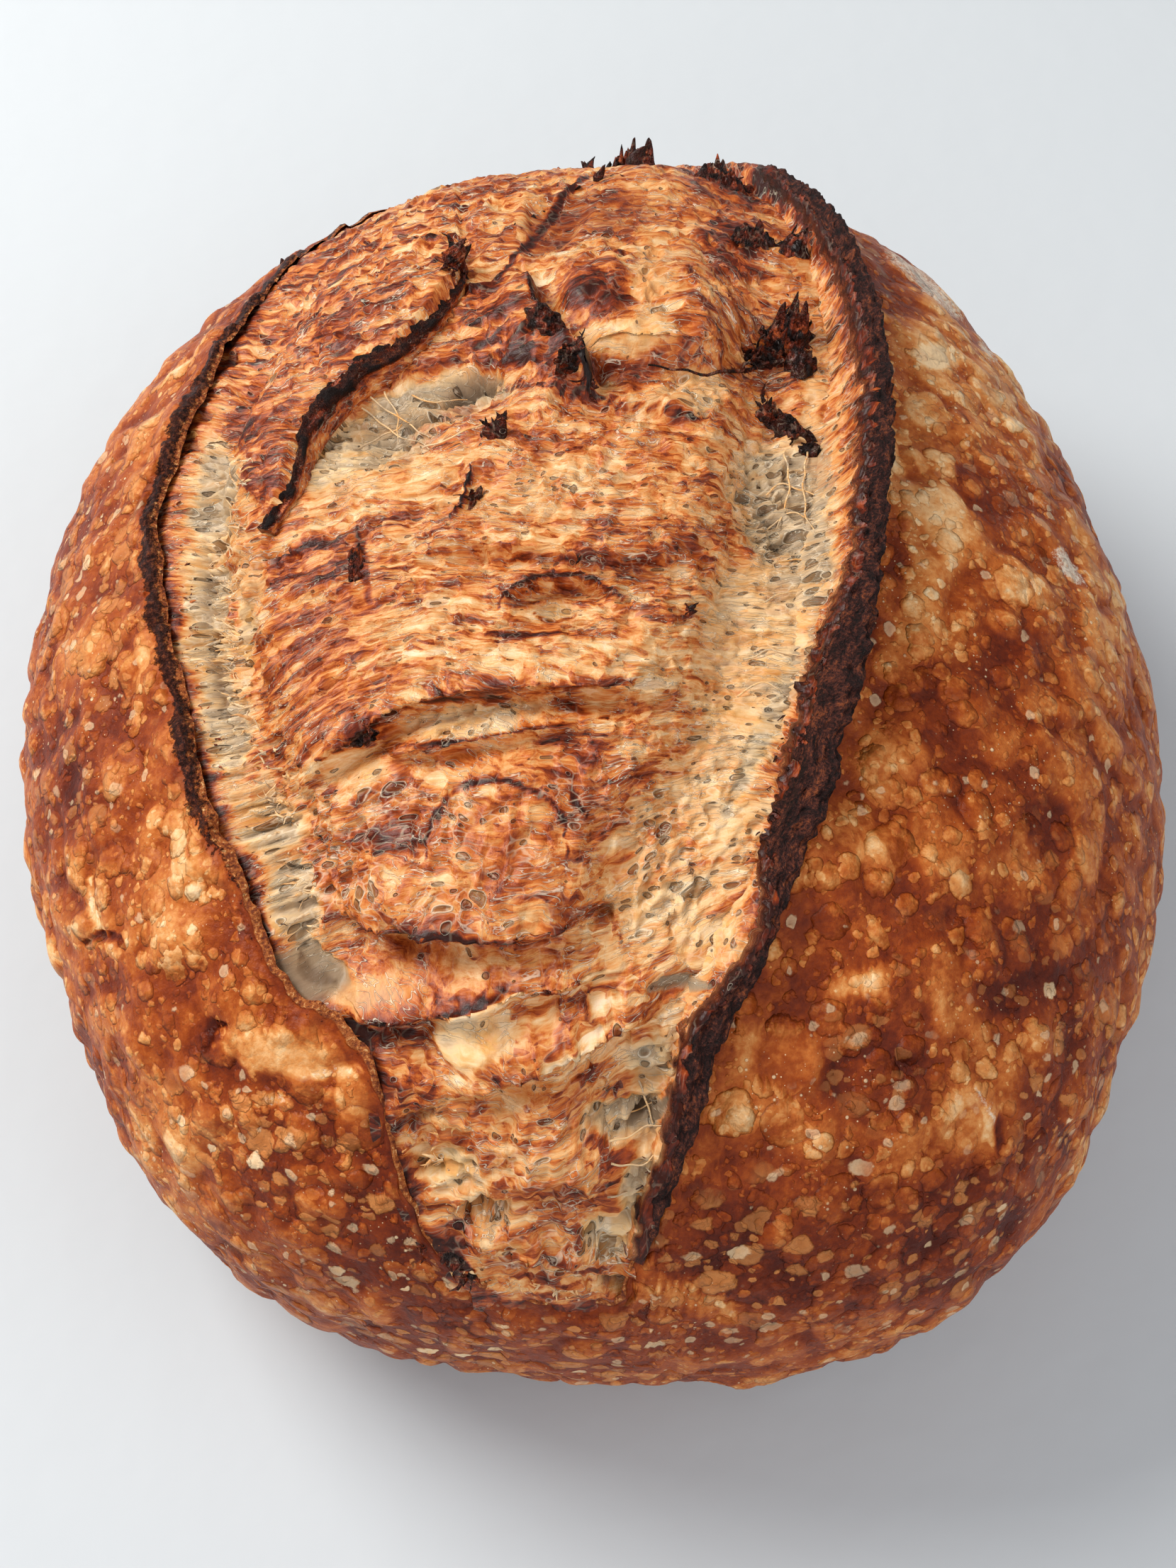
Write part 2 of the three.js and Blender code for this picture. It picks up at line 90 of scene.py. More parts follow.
# rise, hollow, back, front, overhang, path
STEPS = [
    (4, 2.5, 12, 8, 1, [(0.7, 25), (-1, 31), (-3, 36), (-8, 42), (-11, 49), (-12, 58)]),
    (3.5, 1.5, 12, 9, 1, [(-4, 40.5), (5, 39), (13, 38.5), (21, 39), (28, 41)]),
    (1.5, 1.5, 9, 6, 0.6, [(-9, 31), (3, 28), (15, 25.5), (24, 22)]),
    (2, 1.5, 9, 7, 0.6, [(-34, -5), (-17, -7), (-4, -9.5), (9, -9.5), (22, -8)]),
    (2.5, 2, 6, 5, 0.8, [(-16.5, -20), (-13.5, -16.5), (-6, -14), (1.5, -15), (7.5, -19)]),
    (3, 2.2, 12, 7, 1.2, [(-52, -48), (-45, -44), (-37.5, -40), (-32, -37), (-24, -35.5),
     (-12, -35), (4, -35), (17, -37)]),
    (2, 1.5, 5, 6, 0.8, [(-37, -43.5), (-26.5, -44), (-17, -43), (-8, -42), (3, -41)]),
    (4, 1.6, 14, 8, 1.2, [(-42, -64), (-36, -67), (-24, -68.5), (-13, -69.5), (-5, -69), (5, -67)]),
    (3.2, 1.6, 6, 8, 1, [(-41, -76.5), (-32, -79), (-24, -79), (-18, -78), (-11, -76.5), (-3, -76),
     (6, -75)]), (2.5, 2, 7, 6, 1, [(-22, -90), (-14, -87), (-4, -84), (6, -81), (12, -79)]),
    (2, 0.4, 10, 6, 0.8, [(-22, -104), (-14, -107), (-4, -109), (3, -108)]),
]
STEP_TAPER = 0.22
# middle, half-widths, height
LUMPS = [
    ((-13, -58), (14, 10), 3.2), ((-6, -21.5), (5.5, 3), -2.2), ((-39, -72.5), (9, 4), -3.5),
    ((-38, 24), (12, 9), -5.5), ((-22, 32), (8, 5), -4.5), ((-24, -97), (6, 4), -2.5),
    ((4, -91), (6, 4), -3), ((-6, -104), (10, 4), -2.5), ((2, 55), (12, 9), 3),
    ((23, 52), (11, 9), 3.5), ((-20, 80), (16, 10), 2.5), ((14, 88), (12, 8), 3),
    ((-8, -83), (12, 5), 2), ((-2, -97), (9, 6), 3.5),
]

# ---- The photograph's camera ---------------------------------------------------------------
PHOTO_SIZE = (1659, 2212)
CAMERA_ELEVATION = math.radians(60)
CAMERA_DISTANCE = 420.0
CAMERA_TARGET = np.array([0.0, 0.0, 50.0])
FOCAL_PIXELS = 3373.0
OPTICAL_CENTRE = (829.5, 1015.0)
BACKWARD = np.array([0.0, -math.cos(CAMERA_ELEVATION), math.sin(CAMERA_ELEVATION)])
UPWARD = np.array([0.0, math.sin(CAMERA_ELEVATION), math.cos(CAMERA_ELEVATION)])
CAMERA_PLACE = CAMERA_TARGET + CAMERA_DISTANCE * BACKWARD
PHOTO_PIXELS_PER_MM = FOCAL_PIXELS / (CAMERA_DISTANCE - 12)


# ---- Numbers -------------------------------------------------------------------------------
def smoothstep(low, high, x):
    t = np.clip((x - low) / (high - low), 0.0, 1.0)
    return t * t * (3 - 2 * t)


def bump(distance, width):
    return np.exp(-((distance / width) ** 2))


def mix(a, b, t):
    return a + (b - a) * t


class Noise:
    """Smooth gradient noise between about -1 and 1, with its own seed."""

    def __init__(self, seed):
        draw = np.random.RandomState(seed)
        self.order = np.tile(draw.permutation(256), 2)
        slopes = draw.normal(size=(256, 3))
        self.slopes = 1.6 * slopes / np.linalg.norm(slopes, axis=1, keepdims=True)

    def __call__(self, x, y, z=0.0):
        place = np.broadcast_arrays(np.asarray(x, float), y, z)
        cell = [np.floor(a).astype(np.int64) for a in place]
        part = [a - c for a, c in zip(place, cell)]
        ease = [p * p * p * (p * (p * 6 - 15) + 10) for p in part]
        total = 0.0
        for i in (0, 1):
            across = self.order[(cell[0] + i) & 255]
            for j in (0, 1):
                along = self.order[across + ((cell[1] + j) & 255)]
                for k in (0, 1):
                    slope = self.slopes[self.order[along + ((cell[2] + k) & 255)]]
                    value = (slope[..., 0] * (part[0] - i) + slope[..., 1] * (part[1] - j)
                             + slope[..., 2] * (part[2] - k))
                    share = ((ease[0] if i else 1 - ease[0]) * (ease[1] if j else 1 - ease[1])
                             * (ease[2] if k else 1 - ease[2]))
                    total = total + value * share
        return total

    def layered(self, x, y, z=0.0, layers=3, gain=0.5):
        total, size = 0.0, 1.0
        for layer in range(layers):
            scale = 2.0**layer
            total = total + size * self(x * scale + 17.3 * layer, y * scale, z * scale)
            size *= gain
        return total

    def ridged(self, x, y, z=0.0):
        return 1 - 2 * np.abs(self(x, y, z))


def scattered(i, j, seed):
    """Three random numbers from 0 to 1 for each whole-number cell i, j."""
    numbers = []
    for k in range(3):
        h = (i * 374761393 + j * 668265263 + (seed * 3 + k) * 974634777) & 0xFFFFFFFF
        h = ((h ^ (h >> 13)) * 1274126177) & 0xFFFFFFFF
        h = ((h ^ (h >> 16)) * 2246822519) & 0xFFFFFFFF
        numbers.append(((h ^ (h >> 15)) & 0xFFFFFF) / float(0x1000000))
    return numbers


def cells(x, y, seed):
    """Distances to the nearest and second nearest of scattered points, and the nearest's number."""
    i, j = np.floor(x).astype(np.int64), np.floor(y).astype(np.int64)
    first = np.full(np.shape(x), 9.0)
    second = np.full(np.shape(x), 9.0)
    own = np.zeros(np.shape(x))
    for a in (-1, 0, 1):
        for b in (-1, 0, 1):
            right, up, number = scattered(i + a, j + b, seed)
            distance = np.hypot(i + a + right - x, j + b + up - y)
            closer = distance < first
            second = np.where(closer, first, np.minimum(second, distance))
            own = np.where(closer, number, own)
            first = np.where(closer, distance, first)
    return first, second, own


coarse = Noise(11)
fine = Noise(23)
torn = Noise(37)

# ---- Paths ---------------------------------------------------------------------------------
def spline(a, b, c, d, t):
    """A Catmull-Rom curve from b to c."""
    return b + 0.5 * t * (c - a + t * (2 * a - 5 * b + 4 * c - d + t * (3 * (b - c) + d - a)))


def smooth_path(points, count, closed=False):
    """A smooth line through the points, as evenly spaced samples."""
    p = np.array(points, float)
    before, after = (p[-1:], p[:2]) if closed else ([2 * p[0] - p[1]], [2 * p[-1] - p[-2]])
    p = np.vstack([before, p, after])
    t = np.linspace(0, 1, 12 if closed else 24, endpoint=False)[:, None]
    pieces = [spline(*corners, t) for corners in zip(p[:-3], p[1:-2], p[2:-1], p[3:])]
    dense = np.vstack(pieces + [p[-2:-1]])
    along = np.concatenate([[0], np.cumsum(np.linalg.norm(np.diff(dense, axis=0), axis=1))])
    even = np.linspace(0, along[-1], count + 1)[:count + (not closed)]
    return np.stack([np.interp(even, along, column) for column in dense.T], 1)


def nearest(path, x, y):
    """Distance to a path, offset to its left-hand side, share of its length and the foot."""
    best = np.full(np.shape(x), np.inf)
    offset, share = np.zeros(np.shape(x)), np.zeros(np.shape(x))
    foot_x, foot_y = np.zeros(np.shape(x)), np.zeros(np.shape(x))
    count = len(path) - 1
    for i, (a, b) in enumerate(zip(path[:-1], path[1:])):
        dx, dy = b - a
        length = math.hypot(dx, dy)
        t = np.clip(((x - a[0]) * dx + (y - a[1]) * dy) / length**2, 0, 1)
        fx, fy = a[0] + t * dx, a[1] + t * dy
        square = (x - fx) ** 2 + (y - fy) ** 2
        closer = square < best
        best = np.where(closer, square, best)
        offset = np.where(closer, ((x - fx) * -dy + (y - fy) * dx) / length, offset)
        share = np.where(closer, (i + t) / count, share)
        foot_x, foot_y = np.where(closer, fx, foot_x), np.where(closer, fy, foot_y)
    return np.sqrt(best), offset, share, foot_x, foot_y


# ---- Body ----------------------------------------------------------------------------------
BASE_ROUNDING = 3.0  # mm over which the side turns into the flat base


def belly_radius(azimuth):
    count = len(BELLY_RADII)
    place = np.mod(azimuth / (2 * math.pi) * count, count)
    i = np.floor(place).astype(int) % count
    radii = np.array(BELLY_RADII, float)
    return spline(*[radii[(i + k) % count] for k in (-1, 0, 1, 2)], place - np.floor(place))


def body_radius(polar, azimuth):
    across, up = np.sin(polar), np.cos(polar)
    fullness = np.where(up >= 0, UPPER_FULLNESS, LOWER_FULLNESS)
    rise = np.where(up >= 0, CROWN_RISE, LOWER_RISE)
    width = (np.abs(across) / belly_radius(azimuth)) ** fullness
    return (width + (np.abs(up) / rise) ** fullness) ** (-1 / fullness)


def skin(u, v, lift=0.0):
    """Places on the skin as rows of x, y, z in mm. Below the belly the skin turns flat at z = 0."""
    polar = np.hypot(u, v) / SKIN_PER_RADIAN
    azimuth = np.arctan2(v, u)
    radius = body_radius(polar, azimuth) + lift
    down = np.minimum(np.cos(polar), -1e-6)
    floor = BELLY_HEIGHT / -down
    gap = np.clip(0.5 + 0.5 * (floor - radius) / BASE_ROUNDING, 0, 1)
    flat = mix(floor, radius, gap) - BASE_ROUNDING * gap * (1 - gap)
    radius = np.where(np.cos(polar) < -0.05, flat, radius)
    return np.stack([
        radius * np.sin(polar) * np.cos(azimuth),
        radius * np.sin(polar) * np.sin(azimuth),
        np.maximum(BELLY_HEIGHT + radius * np.cos(polar), 0.0),
    ], -1)


def photo_place(points):
    """Pixels of the photograph at which places in mm show."""
    away = points - CAMERA_PLACE
    depth = -(away @ BACKWARD)
    x = OPTICAL_CENTRE[0] + FOCAL_PIXELS * away[..., 0] / depth
    y = OPTICAL_CENTRE[1] - FOCAL_PIXELS * (away @ UPWARD) / depth
    return x, y


def seen(points, normals):
    """1 where the surface turns towards the photograph's camera, and 0 where it turns away."""
    ray = CAMERA_PLACE - points
    ray /= np.linalg.norm(ray, axis=-1, keepdims=True)
    return smoothstep(-0.05, 0.12, np.sum(ray * normals, -1))


# ---- Large relief of the burst -------------------------------------------------------------
crust_edge = smooth_path(CRUST_EDGE, 120)
ear_crest = smooth_path(EAR_CREST, 120)
flap_rim = smooth_path(FLAP_RIM, 30)
BACK_END = 118.0
FRONT_END = -116.4


def left_side(v):
    return np.interp(v, crust_edge[3:, 1], crust_edge[3:, 0])


def right_side(v):
    return np.interp(v, ear_crest[:, 1], ear_crest[:, 0])


def channel_depth(channel, gap, v):
    lower = smoothstep(channel["from"] - CHANNEL_FADE, channel["from"] + CHANNEL_FADE, v)
    upper = 1 - smoothstep(channel["to"] - CHANNEL_FADE, channel["to"] + CHANNEL_FADE, v)
    return channel["depth"] * lower * upper * bump(gap - channel["middle"], channel["width"])


def step_relief(step, u, v):
    """A torn step's lift, how far its crest is pulled over the hollow before it, and its lip."""
    rise, hollow, back, front, overhang, points = step
    path = smooth_path(points, 30)
    distance, offset, share = nearest(path, u, v)[:3]
    fade = smoothstep(0, STEP_TAPER, share) * smoothstep(0, STEP_TAPER, 1 - share)
    fade = fade * bump(np.sqrt(np.maximum(0, distance**2 - offset**2)), 4)
    behind = rise * bump(distance, back * 0.6)
    drop = 1 - smoothstep(0, front * 0.35, distance)
    before = rise * drop - hollow * bump(distance - front * 0.5, front * 0.4) * (1 - drop)
    pull = fade * overhang * bump(distance, 2.2) * np.where(offset >= 0, 1.0, 0.4)
    slope = np.gradient(path, axis=0)
    slope /= np.linalg.norm(slope, axis=1, keepdims=True)
    along, ticks = share * (len(path) - 1), np.arange(len(path))
    front_u, front_v = np.interp(along, ticks, slope[:, 1]), -np.interp(along, ticks, slope[:, 0])
    lift = fade * np.where(offset >= 0, behind, before)
    return lift, pull * front_u, pull * front_v, fade * bump(distance, 1.6)


def burst_relief(u, v, left, right):
    """Large relief inside the burst: lift, sideways pull in u and v, and how near a torn lip is."""
    lift = BLOOM_RISE * smoothstep(0, BLOOM_SHOULDER, np.minimum(left, right))
    lift = lift - channel_depth(LEFT_CHANNEL, left, v) - channel_depth(RIGHT_CHANNEL, right, v)
    pull_u, pull_v, lip = np.zeros_like(u), np.zeros_like(u), np.zeros_like(u)
    for step in STEPS:
        rise, du, dv, near = step_relief(step, u, v)
        lift, pull_u, pull_v = lift + rise, pull_u + du, pull_v + dv
        lip = np.maximum(lip, near)
    for (at_u, at_v), (reach_u, reach_v), height in LUMPS:
        lift = lift + height * bump(np.hypot((u - at_u) / reach_u, (v - at_v) / reach_v), 1)
    distance, offset, share = nearest(flap_rim, u, v)[:3]
    fade = smoothstep(-0.1, 0.15, share) * smoothstep(-0.1, 0.2, 1 - share)
    over = FLAP_SIZE["rise"] * (1 - smoothstep(0, FLAP_SIZE["reach"], distance))
    return lift + np.where(offset > 0, 0, fade * over), pull_u, pull_v, lip


# ---- What the photograph shows where --------------------------------------------------------
def patches(names, rows):
    """Gives a patch's leading values their names; None leaves that field as it is."""
    table = []
    for row in rows:
        values = row[5:]
        fields = dict(values[-1]) if isinstance(values[-1], dict) else {}
        fields.update((name, value) for name, value in zip(names, values) if value is not None)
        table.append((*row[:5], fields))
    return table


# Patches: middle x, y, half-widths, tilt in degrees (clockwise as seen), and the fields that they
# set. done is how baked the crumb is (0 pale, 1 purple-brown), streak the strength of its fibres,
# web how open its round holes are, pull how much it is drawn into threads, and lift adds mm.
# The shade field is painted shade: it darkens pockets, hollows and the undersides of folds.
BLOOM_PATCHES = patches(("done", "streak"), [
    # flap, crown and the lumps at the top
    (450, 430, 210, 110, -32, 0.56, 1), (350, 640, 60, 110, 20, 0.7, 0.8),
    (640, 320, 130, 60, -14, 0.48, 1.2), (700, 400, 70, 50, 0, 0.42, 1),
    (780, 320, 60, 34, -35, 0.6, 0.4, {"dark": 0.4, "lift": -1.5}),
    (860, 300, 70, 34, 0, 0.62, 0.5, {"dark": 0.3}), (990, 290, 90, 40, 0, 0.52, 0.6),
    (850, 415, 70, 45, 5, 0.76, 0.7, {"lift": 1}), (920, 400, 34, 60, 10, 0.38, 0.3, {"web": 0.4}),
    (1060, 355, 90, 44, 8, 0.82, 0.9, {"lift": 1}), (1020, 445, 70, 44, -8, 0.62, 0.7),
    # ledge, wall and pocket under the crown
    (880, 475, 80, 28, -4, 0.24, 0.5), (885, 528, 80, 20, 3, 0.72, 0.5),
    (985, 550, 46, 36, 0, 0.3, 0.3, {"web": 0.5}), (710, 470, 80, 74, 40, 0.76, 1.1),
    (650, 560, 100, 40, -12, 0.06, 0.4, {"pull": 0.5, "web": 0.2, "grey": 0.5}),
    (545, 610, 110, 54, -28, 0.05, 0.3, {"pull": 0.5, "web": 0.2, "grey": 0.6}),
    (470, 660, 46, 60, 10, 0.08, 0.3, {"pull": 0.4, "grey": 0.4}),
    # golden and brown bands of the upper half
    (560, 680, 110, 40, -16, 0.3, 0.6), (455, 730, 110, 34, -16, 0.36, 0.7),
    (440, 800, 96, 36, -14, 0.74, 1), (620, 620, 60, 26, 0, 0.36, 0.7),
    (690, 590, 100, 34, 0, 0.46, 0.8), (780, 690, 130, 52, 0, 0.34, 0.6, {"web": 0.35}),
    (930, 690, 90, 70, 0, 0.42, 0.8), (800, 770, 150, 16, 2, 0.38, 0.9),
    (560, 790, 70, 60, -10, 0.45, 1),
    # pale strip beside the ear
    (1110, 700, 76, 110, 8, 0.05, 0.4, {"web": 0.7, "lift": -1, "grey": 0.6}),
    (1130, 800, 60, 80, 10, 0.04, 0.4, {"web": 0.8, "lift": -1, "grey": 0.5}),
    (1060, 880, 90, 110, 12, 0.23, 0.5, {"web": 0.12, "pull": 0.25}),
    (1080, 930, 50, 90, 12, 0.18, 0.5, {"web": 0.12, "pull": 0.3}),
    (1040, 1020, 80, 90, 16, 0.23, 0.5, {"web": 0.25, "pull": 0.25}),
    (1000, 1150, 90, 100, 14, 0.27, 0.6, {"web": 0.5}),
    (1160, 500, 34, 130, 6, 0.3, 0.4, {"web": 0.3}), (1170, 650, 30, 60, 0, 0.3, 0.5, {"web": 0.3}),
    (1080, 590, 60, 30, 20, 0.5, 0.6), (1070, 262, 110, 48, 8, 0.74, 0.8),
    (1130, 350, 70, 80, -20, 0.55, 0.7), (1165, 440, 50, 90, 0, 0.44, 0.6),
    (1180, 560, 36, 80, 0, 0.38, 0.6), (1185, 700, 26, 90, 0, 0.3, 0.6, {"web": 0.2}),
    # eye-shaped fold, long ledge and honeycomb groove
    (780, 835, 90, 26, 0, 0.52, 0.9), (780, 862, 34, 16, 0, 0.14, 0.2, {"web": 0.4, "lift": -0.6}),
    (450, 930, 110, 110, -10, 0.58, 0.8), (640, 900, 130, 60, 0, 0.41, 1),
    (880, 940, 120, 60, 0, 0.3, 0.9), (790, 895, 110, 12, 0, 0.62, 0.8),
    (700, 965, 190, 12, -3, 0.6, 0.9), (665, 1015, 110, 26, -5, 0.2, 0.3, {"web": 0.9}),
    (470, 1070, 90, 24, -22, 0.36, 0.9), (495, 1095, 60, 30, -20, 0.26, 0.3, {"web": 0.3}),
    (690, 1065, 70, 30, 0, 0.46, 0.5),
    # round lobe and the crumb beside it
    (900, 1020, 90, 50, 0, 0.42, 0.9), (440, 1140, 80, 40, -20, 0.36, 0.8, {"web": 0.3}),
    (560, 1140, 60, 44, 0, 0.6, 0.6, {"web": 0.4}), (690, 1185, 96, 74, 0, 0.5, 0.4, {"web": 0.5}),
    (800, 1130, 50, 50, 0, 0.56, 0.5, {"web": 0.4}),
    (470, 1230, 70, 74, 0, 0.56, 0.5, {"web": 0.6}),
    (640, 1275, 90, 24, 0, 0.46, 0.4, {"web": 0.6}),
    (830, 1285, 60, 16, 3, 0.66, 0.3, {"lift": -1}),
    (930, 1270, 74, 60, 0, 0.24, 0.4, {"web": 0.8}),
    (920, 1180, 70, 70, 0, 0.34, 0.6, {"web": 0.6}),
    # stretched skin, grey pocket, crusty tongue and smooth pale patch
    (640, 1350, 140, 40, -3, 0.5, 0.5), (480, 1395, 120, 50, 12, 0.46, 0.3),
    (445, 1372, 62, 40, 30, 0.2, 0, {"grey": 0.9, "dark": 0.4, "lift": -1.5}),
    (515, 1402, 60, 22, -10, 0.34, 0.1, {"grey": 0.4}), (520, 1470, 120, 40, 0, 0.62, 0.9),
    (570, 1540, 50, 80, 20, 0.58, 0.9),
    (670, 1450, 70, 46, -25, 0.14, 0.15, {"lift": 2, "grey": 0}),
    (830, 1400, 150, 40, -16, 0.36, 1.2), (840, 1470, 130, 34, -14, 0.34, 1.2),
    # lower end
    (1010, 1330, 60, 50, -20, 0.2, 0.6, {"web": 0.4}),
    (920, 1500, 50, 50, 0, 0.14, 0.4, {"pull": 0.8, "grey": 0.4}),
    (880, 1580, 70, 40, -8, 0.1, 0.4, {"pull": 1, "grey": 0.5}),
    (910, 1680, 40, 80, 10, 0.1, 0.4, {"pull": 0.9, "grey": 0.4}),
    (710, 1545, 60, 24, -10, 0.3, 0.5), (640, 1570, 60, 34, -20, 0.44, 0.9),
    (630, 1650, 60, 36, 8, 0.12, 0.4, {"pull": 1}),
    (770, 1640, 100, 64, 0, 0.56, 0.9, {"web": 0.3}), (560, 1690, 40, 60, 10, 0.62, 0.8),
    (680, 1720, 44, 24, 0, 0.3, 0.4, {"web": 0.8, "lift": -1.5}), (630, 1750, 40, 34, 0, 0.76, 0.8),
    (770, 1770, 90, 34, 4, 0.42, 0.9, {"web": 0.6}),
    (860, 1745, 44, 44, 0, 0.12, 0.3, {"web": 0.9, "pull": 0.6}),
    (780, 1820, 110, 20, 6, 0.36, 0.9),
    # left channel and its yellow roots
    (300, 700, 40, 100, 5, 0.02, 0.3, {"pull": 1, "grey": 0.5}),
    (290, 870, 40, 120, 0, 0.04, 0.3, {"pull": 1, "grey": 0.4}),
    (320, 1030, 36, 80, -12, 0, 0.3, {"pull": 0.8, "grey": 0.2}),
    (370, 1160, 50, 60, -20, 0.1, 0.4, {"pull": 0.9, "grey": 0.3}),
    (410, 1270, 36, 80, -10, 0.06, 0.3, {"pull": 1, "grey": 0.4}),
    (345, 860, 16, 160, 0, 0.14, 0.6, {"pull": 0.7}),
    (350, 800, 30, 60, 0, 0.34, 0.6, {"pull": 0.5}),
])
# Strokes: half-width in pixels, points and fields. Dark folds, rims and deep holes; their shade field is
# painted shade in the holes and under the folds.
BLOOM_STROKES = [
    (9, [(590, 470), (640, 420), (700, 400), (745, 340), (800, 270), (840, 245)], {"done": 0.95}),
    (12, [(812, 488), (825, 520), (830, 560)], {"char": 0.8, "done": 0.95, "lift": 1.5}),
    (16, [(740, 400), (760, 440), (790, 480), (812, 490)], {"char": 0.45, "done": 0.9}),
    (7, [(700, 545), (760, 545), (830, 560), (900, 570), (1000, 590)], {"done": 0.9}),
    (24, [(630, 565), (665, 542), (705, 530)], {"dark": 0.5, "grey": 1, "lift": -3}),
    (12, [(570, 600), (600, 592), (625, 590)], {"dark": 0.5, "lift": -2.5}),
    (20, [(440, 650), (448, 620), (460, 590)], {"dark": 0.75, "lift": -2.5}),
    (7, [(640, 735), (655, 700), (668, 655)], {"done": 1, "char": 0.6, "lift": 1}),
    (10, [(505, 745), (512, 790), (520, 850)], {"done": 0.85, "char": 0.3}),
    (6, [(700, 790), (760, 785), (830, 790), (900, 795), (960, 790)], {"done": 0.68}),
    (6, [(700, 858), (722, 826), (780, 806), (845, 815), (888, 852)], {"done": 0.92}),
    (6, [(752, 866), (780, 878), (812, 866)], {"done": 0.8, "dark": 0.3}),
    (7, [(690, 893), (740, 897), (800, 894)], {"done": 0.95, "dark": 0.4}),
    (5, [(420, 1080), (500, 1042), (545, 1004), (620, 984), (720, 976), (800, 972)], {"done": 0.86,
     "dark": 0.15}),
    (6, [(560, 1052), (600, 1046), (650, 1040), (760, 1022), (860, 1012)], {"done": 0.9,
     "dark": 0.3}), (8, [(500, 1030), (515, 1045), (530, 1048)], {"done": 0.95, "char": 0.6}),
    (9, [(806, 1110), (815, 1135), (830, 1150)], {"done": 0.95, "char": 0.3}),
    (6, [(600, 1215), (610, 1150), (660, 1105), (730, 1105), (790, 1145), (800, 1215)],
     {"done": 0.9}),
    (6, [(460, 1330), (500, 1312), (600, 1306), (700, 1316), (760, 1312)], {"done": 0.84,
     "dark": 0.1}),
    (8, [(600, 1434), (650, 1412), (720, 1386), (780, 1378)], {"done": 0.95, "dark": 0.4}),
    (8, [(398, 1392), (430, 1420), (490, 1432), (560, 1416)], {"done": 0.42, "grey": 0}),
    (7, [(430, 1434), (470, 1452), (530, 1462), (600, 1444)], {"done": 0.9, "dark": 0.1}),
    (14, [(422, 1345), (436, 1370), (470, 1392)], {"dark": 0.8, "lift": -2}),
    (22, [(890, 1588), (915, 1574), (940, 1550)], {"dark": 0.5, "grey": 1, "lift": -3}),
    (22, [(915, 1392), (960, 1388), (1000, 1392)], {"grey": 1, "streak": 0.05, "lift": -1.5}),
    (12, [(560, 1590), (590, 1580), (612, 1568)], {"dark": 0.6, "lift": -1.5}),
    (14, [(585, 1660), (605, 1650), (625, 1655)], {"dark": 0.5, "lift": -2}),
    (16, [(640, 1715), (680, 1705), (710, 1712)], {"dark": 0.7, "lift": -3}),
    (12, [(600, 1745), (640, 1765), (665, 1790)], {"done": 0.9, "char": 0.2}),
    (13, [(845, 1812), (875, 1814), (905, 1808)], {"dark": 0.8, "grey": 0.6, "lift": -2.5}),
    (12, [(840, 1290), (870, 1292)], {"dark": 0.5, "lift": -2}),
    (12, [(1100, 760), (1120, 762)], {"dark": 0.6, "lift": -2}),
    (16, [(1080, 735), (1120, 730)], {"dark": 0.3, "lift": -1.5}),
    (12, [(1160, 775), (1165, 800)], {"dark": 0.3, "lift": -1.5}),
    (26, [(1150, 850), (1132, 925), (1100, 1000), (1062, 1075), (1024, 1150)], {"done": 0.08,
     "grey": 0.45, "pull": 0.5}),
    (12, [(285, 760), (290, 860), (300, 960), (318, 1040)], {"dark": 0.55, "lift": -1}),
    (14, [(262, 605), (266, 640)], {"dark": 0.6, "lift": -2}),
    (12, [(312, 520), (330, 500)], {"dark": 0.55, "lift": -2}),
    (10, [(280, 590), (300, 585)], {"dark": 0.5, "lift": -1.5}),
]
# Where the fibres don't run along u: middle and reach in mm, and their slope there.
FIBRE_BENDS = [
    ((-42, 40), 30, 0.35), ((-48, -30), 24, 0.42), ((8, -82), 26, 0.35), ((20, -62), 18, 0.3),
    ((-10, 75), 26, 0.2), ((-30, -82), 12, -0.2), ((28, 55), 14, -0.5),
]
CRUMB_FIELDS = ("done", "streak", "web", "pull", "lift", "char", "dark", "grey")


def crumb_fields(shape, **values):
    return {name: np.zeros(shape) + values.get(name, 0.0) for name in CRUMB_FIELDS}


def patch_share(x, y, ragged, mid_x, mid_y, wide, high, tilt):
    """How much of a patch reaches each pixel place; ragged makes its outline uneven."""
    turn = math.radians(tilt)
    dx, dy = x - mid_x, y - mid_y
    along = (dx * math.cos(turn) + dy * math.sin(turn)) / wide
    across = (-dx * math.sin(turn) + dy * math.cos(turn)) / high
    return 1 - smoothstep(0.55, 1.2, np.hypot(along, across) + 0.28 * ragged)


def stroke_share(x, y, ragged, width, points):
    distance, _, share = nearest(smooth_path(points, 12), x, y)[:3]
    taper = 0.35 + 0.65 * np.minimum(smoothstep(0, 0.3, share), smoothstep(0, 0.3, 1 - share))
    return 1 - smoothstep(0.35, 1.25, distance / (0.75 * width * taper) + 0.35 * ragged)


def paint(fields, x, y, facing, patch_rows, stroke_rows):
    """Lays the patches and then the strokes over a dictionary of fields."""
    ragged = torn.layered(x / 42, y / 42, 0.3, 3)
    layers = [(patch_share, row) for row in patch_rows] + [(stroke_share, row) for row in stroke_rows]
    for share_of, (*place, values) in layers:
        share = share_of(x, y, ragged, *place) * facing
        for key, value in values.items():
            change = value if key == "lift" else value - fields[key]
            fields[key] = fields[key] + change * share


# ---- Meshes --------------------------------------------------------------------------------
def placed(name, data):
    thing = bpy.data.objects.new(name, data)
    bpy.context.scene.collection.objects.link(thing)
    return thing


def unit(vectors):
    return vectors / np.maximum(np.linalg.norm(vectors, axis=-1, keepdims=True), 1e-9)


def normals_of(grid):
    """Unit normals of a grid of points, from its rows and columns."""
    return unit(np.cross(np.gradient(grid, axis=1), np.gradient(grid, axis=0)))


